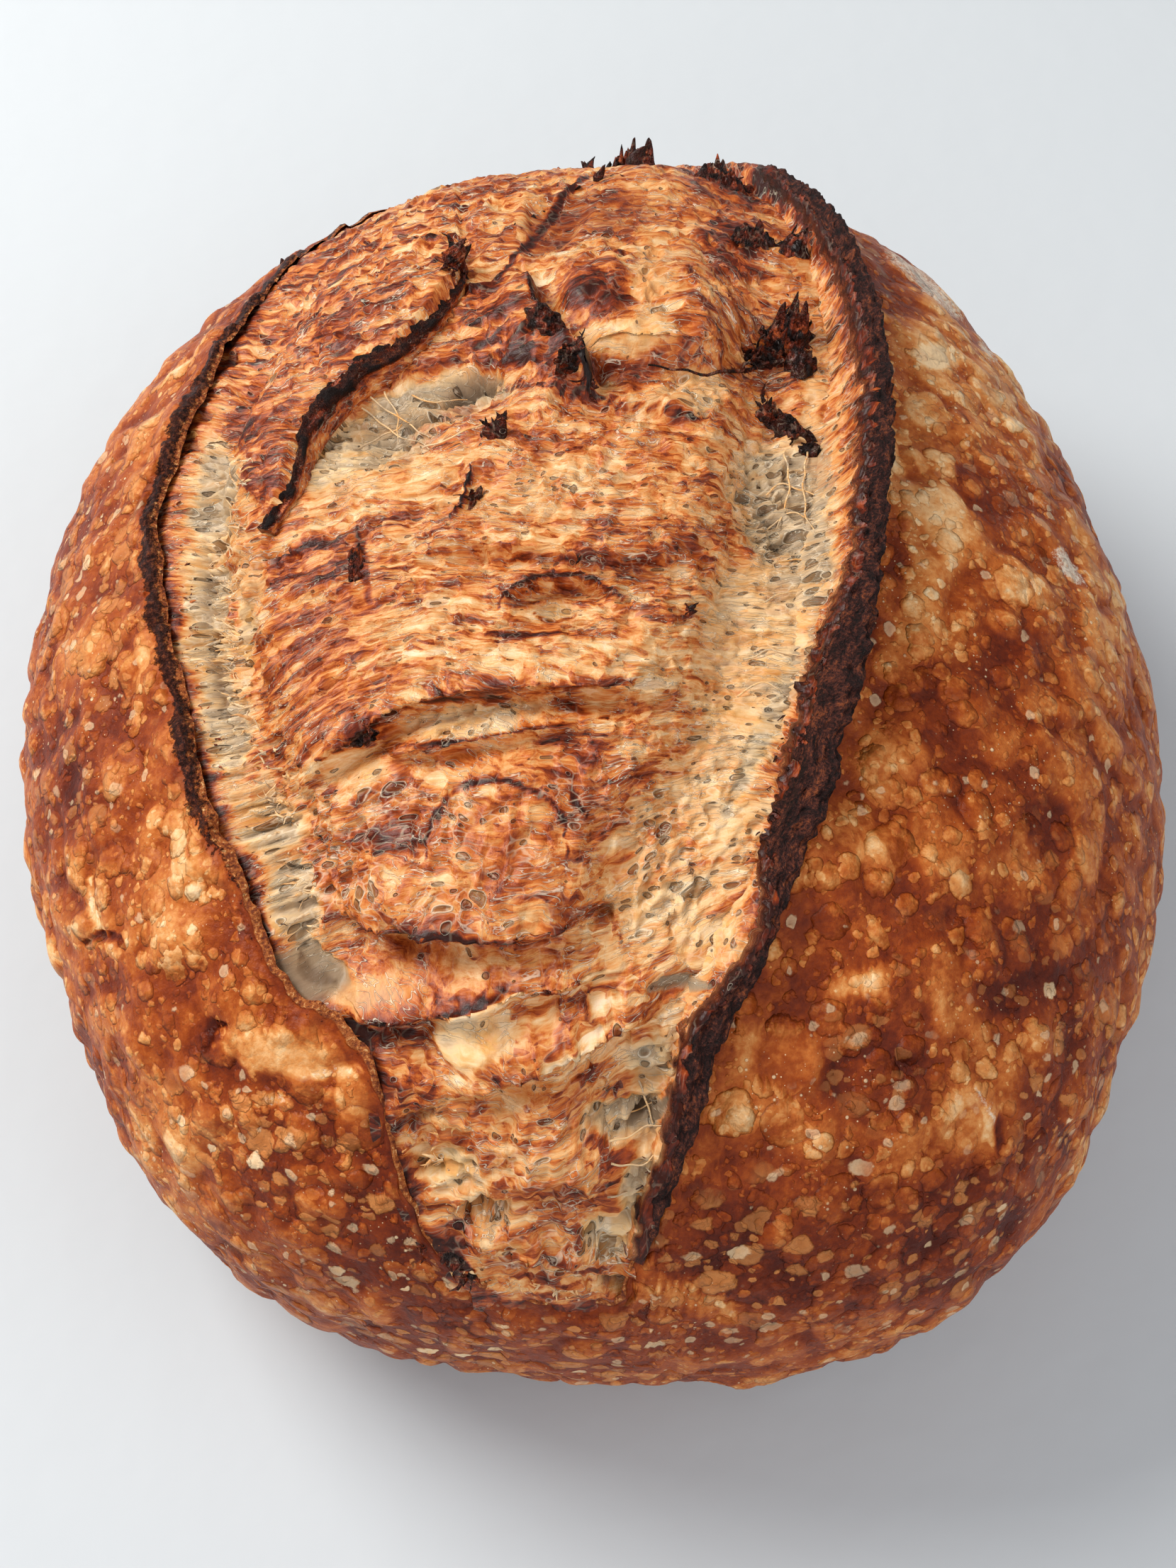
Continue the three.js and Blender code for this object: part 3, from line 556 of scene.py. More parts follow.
def new_object(name, points, quads, ends, material, fields, corner_uv=None, copied=()):
    """A mesh from points in mm, corners of its quads and end triangles, and fields of its points.

    copied names the points whose fields also hold for the points added after the grid.
    """
    mesh = bpy.data.meshes.new(name)
    ends = np.asarray(ends, np.int64).reshape(-1, 3)
    corners = np.concatenate([quads.ravel(), ends.ravel()])
    starts = np.concatenate([np.arange(len(quads)) * 4, quads.size + np.arange(len(ends)) * 3])
    mesh.vertices.add(len(points))
    mesh.vertices.foreach_set("co", (points * MM).astype(np.float32).ravel())
    mesh.loops.add(len(corners))
    mesh.loops.foreach_set("vertex_index", corners.astype(np.int32))
    mesh.polygons.add(len(starts))
    mesh.polygons.foreach_set("loop_start", starts.astype(np.int32))
    mesh.polygons.foreach_set("use_smooth", np.ones(len(starts), bool))
    mesh.update(calc_edges=True)
    if corner_uv is not None:
        layer = mesh.uv_layers.new(name="OFBake")
        layer.uv.foreach_set("vector", corner_uv.astype(np.float32).ravel())
    count = len(points) - len(copied)
    for key, values in fields.items():
        values = np.full(count, values) if np.ndim(values) == 0 else np.asarray(values)
        values = values.astype(np.float32).reshape(count, -1)
        values = np.vstack([values, values[list(copied)]])
        kind, part = ("FLOAT", "value") if values.shape[1] == 1 else ("FLOAT_VECTOR", "vector")
        mesh.attributes.new(key, kind, "POINT").data.foreach_set(part, values.ravel())
    mesh.validate()
    mesh.materials.append(material)
    piece = placed(name, mesh)
    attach(piece, "root")
    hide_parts("loaf")


def grid_quads(rows, columns, wrap=False, flip=False):
    """The corners of a grid's quads as point numbers, as rows and as columns."""
    r, c = np.meshgrid(np.arange(rows - 1), np.arange(columns - (not wrap)), indexing="ij")
    corner_r = r.reshape(-1, 1) + [0, 0, 1, 1]
    corner_c = c.reshape(-1, 1) + [0, 1, 1, 0]
    if flip:
        corner_r, corner_c = corner_r[:, ::-1], corner_c[:, ::-1]
    return corner_r * columns + corner_c % columns, corner_r, corner_c


def strip_uv(along, across, strips=1, margins=(0.004, 0.01)):
    """UV of corners on a grid cut into strips along its length, from shares of length and width."""
    strip = np.floor(along.min(axis=1, keepdims=True) * strips)
    edge, gap = margins
    x = mix(edge, 1 - edge, np.clip(along * strips - strip, 0, 1))
    y = (strip + mix(gap, 1 - gap, across)) / strips
    return np.stack([x, y], -1).reshape(-1, 2)


def capped(rings, flip=False):
    """Ring points with a middle point added at each end, and the end triangles."""
    rows, count = rings.shape[:2]
    flat = np.vstack([rings.reshape(-1, 3), rings[0].mean(0), rings[-1].mean(0)])
    k = np.arange(count)
    after = (k + 1) % count
    start = (rows - 1) * count
    first = np.stack([k, after, np.full(count, len(flat) - 2)], 1)
    last = np.stack([start + after, start + k, np.full(count, len(flat) - 1)], 1)
    ends = np.vstack([first, last])
    return flat, (ends[:, ::-1] if flip else ends)


def add_tube(store, rings):
    """Adds rings to a list of closed tubes and tells how many points they have."""
    start = sum(len(tube[0]) for tube in store)
    flat, ends = capped(rings)
    store.append((flat, grid_quads(*rings.shape[:2], wrap=True)[0] + start, ends + start))
    return len(flat)


# ---- Materials -----------------------------------------------------------------------------
def srgb(colour):
    """A colour given as 0 to 255 display values, as linear values with alpha."""
    parts = [c / 255 for c in colour]
    return tuple(p / 12.92 if p <= 0.04045 else ((p + 0.055) / 1.055) ** 2.4 for p in parts) + (1,)


class Value:
    """A node's outlet, with arithmetic that adds maths nodes to its material."""

    def __init__(self, graph, outlet):
        self.graph, self.outlet = graph, outlet

    def __add__(self, other):
        return self.graph.math("ADD", self, other)

    def __sub__(self, other):
        return self.graph.math("SUBTRACT", self, other)

    def __rsub__(self, other):
        return self.graph.math("SUBTRACT", other, self)

    def __mul__(self, other):
        return self.graph.math("MULTIPLY", self, other)

    def swing(self, size):
        """The value less a half, times size."""
        return (self - 0.5) * size

    def beside(self, name):
        """Another outlet of the same node."""
        return Value(self.graph, self.outlet.node.outputs[name])


class Graph:
    """A material, its colour so far, and short calls that add its nodes."""

    def __init__(self, name, roughness, specular):
        self.material = bpy.data.materials.new(name)
        self.material.use_nodes = True
        self.tree = self.material.node_tree
        self.shader = self.tree.nodes["Principled BSDF"].inputs
        self.shader["Roughness"].default_value = roughness
        self.shader["Specular IOR Level"].default_value = specular
        self.colour = None

    def put(self, socket, value):
        if isinstance(value, Value):
            self.tree.links.new(value.outlet, socket)
        else:
            socket.default_value = value

    def add(self, kind, inputs, outlet=0, **settings):
        node = self.tree.nodes.new("ShaderNode" + kind)
        for key, value in settings.items():
            setattr(node, key, value)
        for key, value in inputs.items():
            self.put(node.inputs[key], value)
        return Value(self, node.outputs[outlet])

    def field(self, name, outlet="Fac"):
        return self.add("Attribute", {}, outlet, attribute_name=name)

    def math(self, operation, a, b=0.0, clamp=False):
        return self.add("Math", {0: a, 1: b}, operation=operation, use_clamp=clamp)

    def clamped(self, x):
        return self.math("ADD", x, 0.0, clamp=True)

    def larger(self, a, b):
        return self.math("MAXIMUM", a, b)

    def step(self, low, high, x):
        return self.add("MapRange", {0: x, 1: low, 2: high}, interpolation_type="SMOOTHSTEP")

    def line(self, x, level, width):
        """1 along the lines where x crosses a level."""
        return 1.0 - self.step(width * 0.3, width, self.math("ABSOLUTE", x - level))

    def moved(self, vector, scale, shift=(0, 0, 0)):
        """vector times scale, plus shift."""
        return self.add("VectorMath", {0: vector, 1: scale, 2: shift}, operation="MULTIPLY_ADD")

    def noise(self, vector, scale, detail=3.0, rough=0.55, warp=0.0, outlet=0):
        """Noise on a scale for all directions or, as three numbers, for each."""
        if isinstance(scale, tuple):
            vector, scale = self.moved(vector, scale), 1.0
        return self.add("TexNoise", {"Vector": vector, "Scale": scale, "Detail": detail,
                                     "Roughness": rough, "Distortion": warp}, outlet)

    def stirred(self, vector, scale, reach):
        """vector with its places moved about, by reach in each direction."""
        return self.moved(self.noise(vector, scale, rough=0.5, outlet=1), reach, vector)

    def cells(self, vector):
        """Distance to the nearest cell wall, and a random number for each cell."""
        inputs = {"Vector": vector, "Scale": 1.0}
        edge = self.add("TexVoronoi", inputs, feature="DISTANCE_TO_EDGE")
        return edge, self.add("SeparateColor", {"Color": self.add("TexVoronoi", inputs, "Color")})

    def spots(self, vector, scale, low, high, edge=0.06, extra=0.0):
        """Scattered round spots: mask, height, a random number, and share in from the rim."""
        distance = self.add("TexVoronoi", {"Vector": vector, "Scale": scale}, "Distance")
        own = self.add("SeparateColor", {"Color": distance.beside("Color")})
        radius = self.larger(own * (high - low) + low + extra, 0.001)
        inside = radius - distance
        share = self.math("DIVIDE", self.larger(inside, 0.0), radius)
        height = self.math("POWER", share, 0.5) * radius
        return self.step(0.0, edge, inside), height, own.beside("Green"), share

    def ramp(self, x, stops):
        ramp = self.add("ValToRGB", {0: x})
        elements = ramp.outlet.node.color_ramp.elements
        elements.remove(elements[1])
        elements[0].position = stops[0][0]
        elements[0].color = srgb(stops[0][1])
        for place, colour in stops[1:]:
            elements.new(place).color = srgb(colour)
        return ramp

    def lay(self, share, tone, way="MIX"):
        """Blends a tone over the colour so far."""
        tone = tone if isinstance(tone, Value) else srgb(tone)
        self.colour = self.add("Mix", {0: share, 6: self.colour, 7: tone}, 2, data_type="RGBA",
                               blend_type=way)

    def finish(self, height, distance_mm, strength=1.0):
        """Puts the colour and a bump on the material and returns it."""
        normal = self.add("Bump", {"Strength": strength, "Distance": distance_mm * MM,
                                   "Height": height})
        self.put(self.shader["Normal"], normal)
        self.put(self.shader["Base Color"], self.colour)
        return self.material


# How torn crumb colours as it bakes.
CRUMB_TONES = [
    (0.0, (242, 210, 172)), (0.14, (241, 199, 148)), (0.28, (229, 175, 117)),
    (0.42, (218, 146, 81)), (0.55, (195, 103, 42)), (0.68, (152, 64, 22)),
    (0.82, (104, 35, 12)), (1.0, (52, 16, 6)),
]
# How unbaked crumb varies: grey where it is thin, then cream, yellow and stained.
PALE_TONES = [
    (0.3, (158, 132, 100)), (0.42, (206, 178, 142)), (0.5, (235, 197, 144)),
    (0.6, (226, 161, 80)), (0.74, (204, 111, 38)),
]
CHAR_TONE = (28, 14, 10)
# Painted shade: multiplied over pockets, hollows, folds and the gaps between drawn threads.
HOLLOW_SHADE_TONE = (112, 82, 56)
THREAD_TONE = (250, 234, 206)
WALL_TONE = (248, 228, 196)
MEMBRANE_TONE = (158, 136, 110)
# Painted shade: multiplied over the insides of the oval holes.
HOLE_SHADE_TONE = (120, 98, 72)
SCORCH_TONES = [(0.2, (14, 4, 2)), (0.42, (42, 16, 11)), (0.58, (76, 36, 27)), (0.82, (136, 70, 38))]
# cells for each mm along and across the fibres, lowest and highest radius in cells
HOLE_LAYERS = [((0.2, 0.42, 0.3), -0.55, 0.3), ((0.42, 0.85, 0.6), -0.5, 0.34)]


def crumb_material():
    g = Graph("crumb", 0.38, 0.22)
    flow = g.field("flow", "Vector")
    bent = g.stirred(flow, (0.1, 0.18, 0.2), (3.0, 1.9, 1.0))
    grain_edge, grain_own = g.cells(g.moved(bent, (0.42, 1.0, 0.9)))
    wide = g.noise(bent, (0.06, 0.36, 0.25), 5.0, 0.62)
    thin = g.noise(bent, (0.12, 1.5, 0.8), 4.0, 0.65)
    blotch = g.noise(bent, (0.24, 0.42, 0.4), 4.0, 0.66)
    fleck = g.noise(bent, (0.42, 1.15, 0.9), 4.0, 0.7)
    grain = g.noise(flow, 2.2, 3.0, 0.65)
    web, streak, own_done, grey = [g.field(name) for name in ("web", "streak", "done", "grey")]
    rough = 1.0 - (1.0 - g.step(0.1, 0.4, streak)) * g.clamped(1.0 - web)
    flecks = g.step(0.56, 0.72, fleck) * g.step(0.2, 0.5, own_done)
    done = own_done + (wide.swing(1.45) + thin.swing(0.8) + grain_own.swing(0.3)) * streak
    done = done + blotch.swing(0.95) + grain.swing(0.16) + flecks * 0.26 + g.field("crest") * 0.1
    g.colour = g.ramp(g.clamped(done), CRUMB_TONES)
    # unbaked crumb, mottled with grey, cream and yellow
    unbaked = 1.0 - g.step(0.1, 0.36, own_done + wide.swing(0.3))
    shade = g.noise(bent, (0.1, 0.3, 0.25), 5.0, 0.62) + (own_done - 0.12) * 0.5
    g.lay(unbaked * 0.85, g.ramp(shade, PALE_TONES))
    g.lay(grey * g.step(0.3, 0.55, grey + blotch.swing(0.9)), MEMBRANE_TONE)
    # oval holes with thin bright rims; painted shade darkens the insides of the holes
    open_share, rims = 0.0, 0.0
    for index, (scale, low, high) in enumerate(HOLE_LAYERS):
        place = g.moved(bent, scale, (13.0 * index, 5.0 * index, 0.0))
        mask, _, _, share = g.spots(place, 1.0, low, high, 0.05, web * 0.42 - 0.02)
        open_share = g.larger(mask * g.step(0.1, 0.34, share), open_share)
        rims = g.larger(mask * (1.0 - g.step(0.08, 0.24, share)), rims)
    open_share, rims = open_share * rough, rims * rough
    # painted shade inside the holes
    g.lay(open_share * 0.75, HOLE_SHADE_TONE, "MULTIPLY")
    g.lay(rims * 0.62, THREAD_TONE)
    # thin walls and single pale strands that run over everything
    wall = (1.0 - g.step(0.02, 0.1, grain_edge)) * g.step(0.42, 0.6, g.noise(bent, 0.3, 2.0))
    g.lay(wall * (web * 0.4 + 0.1) * rough, WALL_TONE)
    strand = g.line(g.noise(bent, (0.08, 0.75, 0.5), 2.0, 0.5), 0.5, 0.013)
    other = g.line(g.noise(bent, (0.22, 0.95, 0.5), 2.0, 0.5), 0.47, 0.014)
    strand = g.clamped(g.larger(strand, other * 0.8) - g.step(0.6, 0.8, own_done))
    shown = strand * g.step(0.4, 0.56, g.noise(flow, 0.16, 1.0))
    g.lay(shown * 0.5, THREAD_TONE)
    # painted shade: the shade field darkens pockets, hollows, folds and gaps between drawn threads
    g.lay(g.clamped(g.field("dark") * 0.85), HOLLOW_SHADE_TONE, "MULTIPLY")
    # scorched skin and charred points
    uneven = fleck.swing(1.25) + grain.swing(1.0) + blotch.swing(0.8)
    scorched = g.step(0.4, 0.6, g.field("scorch") + grain.swing(0.4))
    g.lay(scorched, g.ramp(uneven + 0.5, SCORCH_TONES))
    g.lay(g.step(0.35, 0.62, g.field("char") + grain.swing(0.3)), CHAR_TONE)
    g.put(g.shader["Roughness"], scorched * 0.3 + 0.38)
    height = thin * 0.14 + wide * 0.45 + (grain + fleck) * (scorched * 1.3 + 0.1)
    height = height + g.step(0.0, 0.3, grain_edge) * grain_own * 0.1
    height = height * (rough * 0.6 + 0.4) + shown * 0.2 - open_share * 0.6 + rims * 0.2
    return g.finish(height, 0.8)


# How the smooth crust colours as it bakes.
CRUST_TONES = [
    (0.0, (243, 206, 158)), (0.14, (234, 180, 122)), (0.28, (215, 142, 77)),
    (0.42, (190, 104, 43)), (0.56, (158, 71, 20)), (0.7, (130, 50, 11)),
    (0.84, (104, 35, 8)), (1.0, (76, 22, 6)),
]
# cells for each mm, lowest and highest radius in cells, how much paler than the crust round
# them, and height in mm for a radius of one cell
BLISTER_LAYERS = [
    (0.13, 0.0, 0.62, 0.32, 4.0), (0.24, 0.05, 0.6, 0.4, 2.7), (0.43, 0.0, 0.56, 0.4, 1.4),
    (0.85, -0.1, 0.5, 0.3, 0.6),
]
SPECK_TONE = (244, 212, 168)
TAN_TONES = [(0.0, (188, 106, 46)), (0.3, (212, 138, 76)), (1.0, (192, 114, 54))]
CREAM_TONES = [(0.0, (222, 160, 104)), (0.25, (248, 216, 172)), (1.0, (243, 196, 140))]
# cells for each mm along x, y and z, lowest and highest radius in cells, tones from the rim in,
# and height in mm for a radius of one cell
OVAL_LAYERS = [
    ((0.15, 0.2, 0.2), 0.1, 0.5, TAN_TONES, 2.4), ((0.3, 0.42, 0.42), 0.0, 0.5, TAN_TONES, 1.2),
    ((0.17, 0.25, 0.25), -0.16, 0.4, CREAM_TONES, 1.6),
]
FLOUR_TONE = (238, 224, 202)
TORN_TONES = [(0.25, (58, 28, 24)), (0.42, (120, 56, 30)), (0.56, (180, 100, 46)), (0.72, (244, 196, 134))]


def crust_material():
    g = Graph("crust", 0.44, 0.15)
    mm = g.moved(g.add("TexCoord", {}, "Object"), (1000.0, 1000.0, 1000.0))
    freckle = g.noise(mm, 0.9, 3.0, 0.6)
    ragged = g.noise(mm, 1.3, 4.0, 0.7)
    bent = g.stirred(mm, 0.4, (2.2, 2.2, 2.2))
    amount, specks, cut = [g.field(name) for name in ("dots", "specks", "cut")]
    height = freckle * 0.2
    raised = g.step(0.0, 0.25, g.field("blister") + freckle.swing(0.3)) * g.field("blister_show")
    clear = 1.0 - raised * g.field("blister_tone") * 0.5
    for index, (scale, low, high, paler, rise) in enumerate(BLISTER_LAYERS):
        place = g.moved(bent, (1, 1, 1), (31.0 * index, 7.0 * index, 13.0 * index))
        mask, dome, luck, share = g.spots(place, scale, low, high, 0.09)
        pale = (luck * 1.5 * paler + 0.15 * paler) * (g.line(share, 0.2, 0.4) * 0.16 + 0.88)
        clear = clear * (1.0 - g.clamped(mask * amount * pale))
        height = g.larger(height, height * 0.6 + dome * amount * rise)
    tone = g.field("tone") + g.noise(mm, 0.1, 4.0, 0.6, 0.6).swing(0.34) + freckle.swing(0.4)
    # paler on raised places and darker in the low places between them: partly the crust's own colour,
    # partly painted shade
    tone = tone + g.noise(mm, 0.32, 3.0, 0.6).swing(0.38) - g.field("relief") * 0.12
    g.colour = g.ramp(g.clamped(tone + clear * 0.48 - 0.27), CRUST_TONES)
    # pale oval blisters
    for scale, low, high, tones, rise in OVAL_LAYERS:
        oval, dome, luck, share = g.spots(g.moved(bent, scale), 1.0, low, high, 0.05)
        oval = g.clamped(oval * g.field("ovals"))
        tint = g.ramp(g.clamped(share + freckle.swing(0.6)), tones)
        g.lay(oval * (luck * 0.55 + 0.35), tint)
        height = height + dome * oval * rise
    # cream blisters and tiny pale specks
    cream, _, _, share = g.spots(bent, 0.36, -1.0, 0.42, 0.1)
    cream = cream * amount
    speck = g.clamped(g.spots(mm, 0.75, -0.7, 0.3, 0.1)[0] * specks)
    tiny = g.clamped(g.spots(mm, 1.7, -0.5, 0.26)[0] * specks)
    spots = g.larger(cream * (0.7 - share * 0.35), g.larger(speck, tiny))
    g.lay(spots * 0.75, SPECK_TONE)
    # torn face under the rim, flour and the scorched rim
    g.lay(g.step(0.3, 0.6, cut), g.ramp(ragged, TORN_TONES))
    dust = g.field("flour") + g.noise(mm, 1.3, 4.0, 0.75).swing(1.2)
    g.lay(g.step(0.35, 0.75, dust) * 0.85, FLOUR_TONE)
    scorched = g.field("scorch") + g.noise(mm, 0.9, 4.0, 0.75).swing(1.7)
    scorched = g.step(0.4, 0.64, scorched)
    g.lay(scorched * 0.95, g.ramp(ragged * 2.0 - 0.52, SCORCH_TONES))
    height = height + g.larger(speck, cream) * 0.15 + g.noise(mm, 2.4, 3.0, 0.6) * 0.12
    return g.finish(height + ragged * (scorched * 1.4 + cut * 0.8), 1.0)


CRUMB = crumb_material()
CRUST = crust_material()


# ---- Torn crumb ----------------------------------------------------------------------------
BLOOM_ROWS = int(400 * FINENESS)
BLOOM_COLUMNS = int(238 * FINENESS)
BLOOM_TUCK = 2.0  # mm by which the crumb reaches under the crust all round
CROWD_RISE = 3  # mm of rise above which a step draws the grid towards it
CROWD_REACH = 6.0
CROWD_PULL = 0.45


def fibre_place(u, v):
    """Coordinates along and across the fibres, in mm."""
    across = v.copy()
    for (at_u, at_v), reach, slope in FIBRE_BENDS:
        share = bump(np.hypot(u - at_u, v - at_v), reach)
        across = across - slope * (u - at_u) * share
    along = u + 2.0 * coarse(u / 8, v / 8, 4.1) + 0.8 * coarse(u / 3, v / 3, 9.4)
    across = across + 1.3 * coarse(u / 12, v / 8, 2.2) + 0.25 * coarse(u / 3.5, v / 2.8, 6.6)
    return along, across


def bloom_grid():
    v = np.linspace(FRONT_END - BLOOM_TUCK, BACK_END + BLOOM_TUCK, BLOOM_ROWS)[:, None]
    x = np.linspace(0, 1, BLOOM_COLUMNS)[None, :]
    inner = np.clip(v, FRONT_END + 1.5, BACK_END - 1.5)
    u = mix(left_side(inner) - BLOOM_TUCK, right_side(inner) + BLOOM_TUCK, x)
    v = np.broadcast_to(v, u.shape).copy()
    for rise, *_, path in STEPS:
        if rise > CROWD_RISE:
            distance, _, _, foot_u, foot_v = nearest(smooth_path(path, 24), u, v)
            keep = np.minimum(1, distance / CROWD_REACH) ** CROWD_PULL
            u, v = foot_u + (u - foot_u) * keep, foot_v + (v - foot_v) * keep
    return u, v


def fine_crumb(along, across, fields):
    """Fine relief of torn crumb in mm, how exposed each place is, its holes and its gaps."""
    fibres = torn.ridged(along / 9, across / 1.9, 0.4)
    threads = torn.ridged(along / 5, across / 1.0, 3.3)
    first, second, own = cells(along / 4.6, across / 2.1, 5)
    wall = bump(second - first, 0.16)
    hollow = smoothstep(0.1, 0.5, second - first) * smoothstep(0.45, 0.75, own)
    first_b, second_b, own_b = cells(along / 2.6 + 9.1, across / 1.5, 9)
    wall_b = bump(second_b - first_b, 0.2)
    hollow_b = smoothstep(0.1, 0.5, second_b - first_b) * smoothstep(0.5, 0.8, own_b)
    rough = coarse.layered(along / 6, across / 5, 1.7, 3, 0.55)
    streak = fields["streak"]
    lift = streak * (0.36 * fibres + 0.06 * threads) + 0.7 * rough * mix(0.4, 1, streak)
    lift = lift + streak * (0.3 * wall + 0.1 * wall_b - 0.9 * hollow - 0.3 * hollow_b)
    crest = streak * (0.6 * fibres + 0.3 * threads + 0.5 * wall - 1.4 * hollow - 0.6 * hollow_b)
    # open round holes with thin walls between them
    first_w, second_w, own_w = cells(along / 3.3 + 3.7, across / 2.9, 14)
    gap = second_w - first_w
    web = smoothstep(0.08, 0.42, gap) * mix(0.35, 1.0, own_w)
    lift = lift - fields["web"] * 2.1 * web
    crest = crest - fields["web"] * 0.5 * web
    # threads drawn across a gap
    drawn = np.abs(torn(along / 11, across / 1.25, 8.8))
    deep = smoothstep(0.05, 0.35, drawn)
    lift = lift - fields["pull"] * 1.9 * deep
    crest = crest - fields["pull"] * 0.3 * deep
    return lift, np.clip(crest, -1.5, 1.5), web, deep


def make_bloom():
    u, v = bloom_grid()
    left, right = nearest(crust_edge, u, v)[0], nearest(ear_crest, u, v)[0]
    inside = (u > left_side(v)) & (u < right_side(v)) & (v > FRONT_END) & (v < BACK_END)
    left = np.where(inside, left, -left)
    border = np.minimum(np.abs(left), np.minimum(right, np.minimum(v - FRONT_END, BACK_END - v)))
    border = np.where(inside, border, -0.1)
    lift, pull_u, pull_v, lip = burst_relief(u, v, np.maximum(left, 0), right)
    bare = skin(u, v, lift)
    facing = seen(bare, normals_of(skin(u, v)))
    unseen = 1 - facing
    edge_pale = (0.32 * bump(left - 8, 6) + 0.3 * bump(right - 14, 8)) * (1 - smoothstep(30, 70, v))
    start = 0.5 + 0.16 * coarse.layered(u / 16, v / 13, 5.5, 3)
    fields = crumb_fields(u.shape, done=start - edge_pale * unseen, streak=0.85,
                          web=0.25 * unseen, pull=0.7 * bump(left - 7, 6) * unseen)
    paint(fields, *photo_place(bare), facing, BLOOM_PATCHES, BLOOM_STROKES)
    along, across = fibre_place(u, v)
    small, crest, web, deep = fine_crumb(along, across, fields)
    lift = lift + fields["lift"] + small * smoothstep(-0.5, 2.0, border)
    meeting = -mix(0.7, 1.5, channel_share(u, v))  # the crust's cut face reaches down to here
    lift = np.maximum(lift, meeting - 1.1 * np.maximum(border, 0))
    lift = mix(lift, meeting, 1 - smoothstep(-1.3, -0.2, border))
    curl = 0.5 * torn(u / 2.1, v / 2.1, 5.9) * smoothstep(0, 3, border)
    points = skin(u + pull_u + curl, v + pull_v + 0.6 * curl, lift)
    patchy = smoothstep(-0.4, 0.5, torn(u / 5, v / 5, 7.7))
    rim = bump(border, 1.4) * (1 - fields["pull"])
    # painted shade: darker in the open holes and in the gaps between drawn threads, over the patches'
    # painted shade
    dark = fields["dark"] + 0.2 * fields["web"] * web + 0.45 * fields["pull"] * deep
    shown = {
        "flow": np.stack([along, across, 0.4 * lift], -1), "crest": crest,
        "done": fields["done"] + 0.2 * lip * patchy + 0.3 * rim, "dark": np.clip(dark, 0, 1),
        "web": np.clip(fields["web"] + 0.6 * fields["pull"], 0, 1),
        "streak": fields["streak"], "char": fields["char"], "grey": fields["grey"],
    }
    quads, r, c = grid_quads(*u.shape)
    corner_uv = strip_uv(c / (u.shape[1] - 1), r / (u.shape[0] - 1), 1, (0.003, 0.003))
    new_object("bloom", points.reshape(-1, 3), quads, [], CRUMB, shown, corner_uv)
    return Surface(points)


class Surface:
    """Looks up the places of a finished surface from pixels of the photograph."""

    def __init__(self, points):
        self.points = points.reshape(-1, 3)
        self.normals = normals_of(points).reshape(-1, 3)
        if np.mean(self.normals[:, 2]) < 0:
            self.normals = -self.normals
        self.x, self.y = photo_place(self.points)
        ray = CAMERA_PLACE - self.points
        self.visible = np.sum(ray * self.normals, -1) > 0

    def at(self, x, y):
        away = (self.x - x) ** 2 + (self.y - y) ** 2 + np.where(self.visible, 0, 1e4)
        i = int(np.argmin(away))
        return self.points[i], self.normals[i]


# ---- Charred flakes and drawn threads --------------------------------------------------------
# Ragged lumps: pixels of the photograph, half-widths in mm across and up the picture, height in
# mm, tilt of the long side in degrees, the direction in which its crest leans, and its seed.
CHARRED_LUMPS = [
    ((1104, 480), (5.2, 3.6), 6, 30, 60, 1), ((1075, 505), (4.2, 2.2), 3, 5, 170, 2),
    ((1125, 515), (2.6, 3.6), 3.5, 60, 40, 3), ((1112, 606), (5.6, 1.8), 3.4, -32, 120, 4),
    ((1080, 588), (1.8, 1.6), 3.6, 0, 120, 5), ((1118, 352), (3.4, 2.4), 3.6, -30, 60, 6),
    ((1062, 340), (4.4, 2), 3, 10, 90, 7), ((800, 505), (2.6, 3.2), 3.4, -40, 0, 8),
    ((765, 455), (4.2, 2.6), 2.2, -50, 20, 9), ((640, 366), (1.5, 2.4), 4.4, 70, 90, 10),
    ((702, 614), (2.4, 1.8), 3.6, 0, 90, 11), ((512, 1040), (2.8, 1), 1.8, 15, 30, 12),
    ((836, 258), (2.2, 1.6), 5, 20, 80, 13), ((882, 254), (5.6, 2.6), 7.4, 12, 50, 14),
    ((1020, 258), (5, 2.6), 4.2, -5, 90, 15), ((1099, 254), (2.4, 1.8), 5.2, 0, 70, 16),
    ((790, 270), (3.4, 1.6), 2, 20, 100, 25), ((1060, 260), (3.4, 1.8), 2.2, -10, 90, 26),
    ((385, 372), (3.4, 1.3), 2, 35, 110, 17), ((1036, 1430), (2.8, 2.2), 3, 10, 20, 18),
    ((635, 1775), (3, 1.6), 1.6, -30, 250, 19), ((575, 300), (1.6, 1), 1.4, 20, 110, 20),
    ((510, 320), (1.6, 1), 1.2, 20, 110, 21), ((500, 800), (1.6, 3.6), 1.2, 0, 90, 22),
    ((668, 712), (0.8, 3), 1.4, -20, 90, 23), ((1150, 640), (2.6, 1.4), 1.8, -30, 60, 24),
]
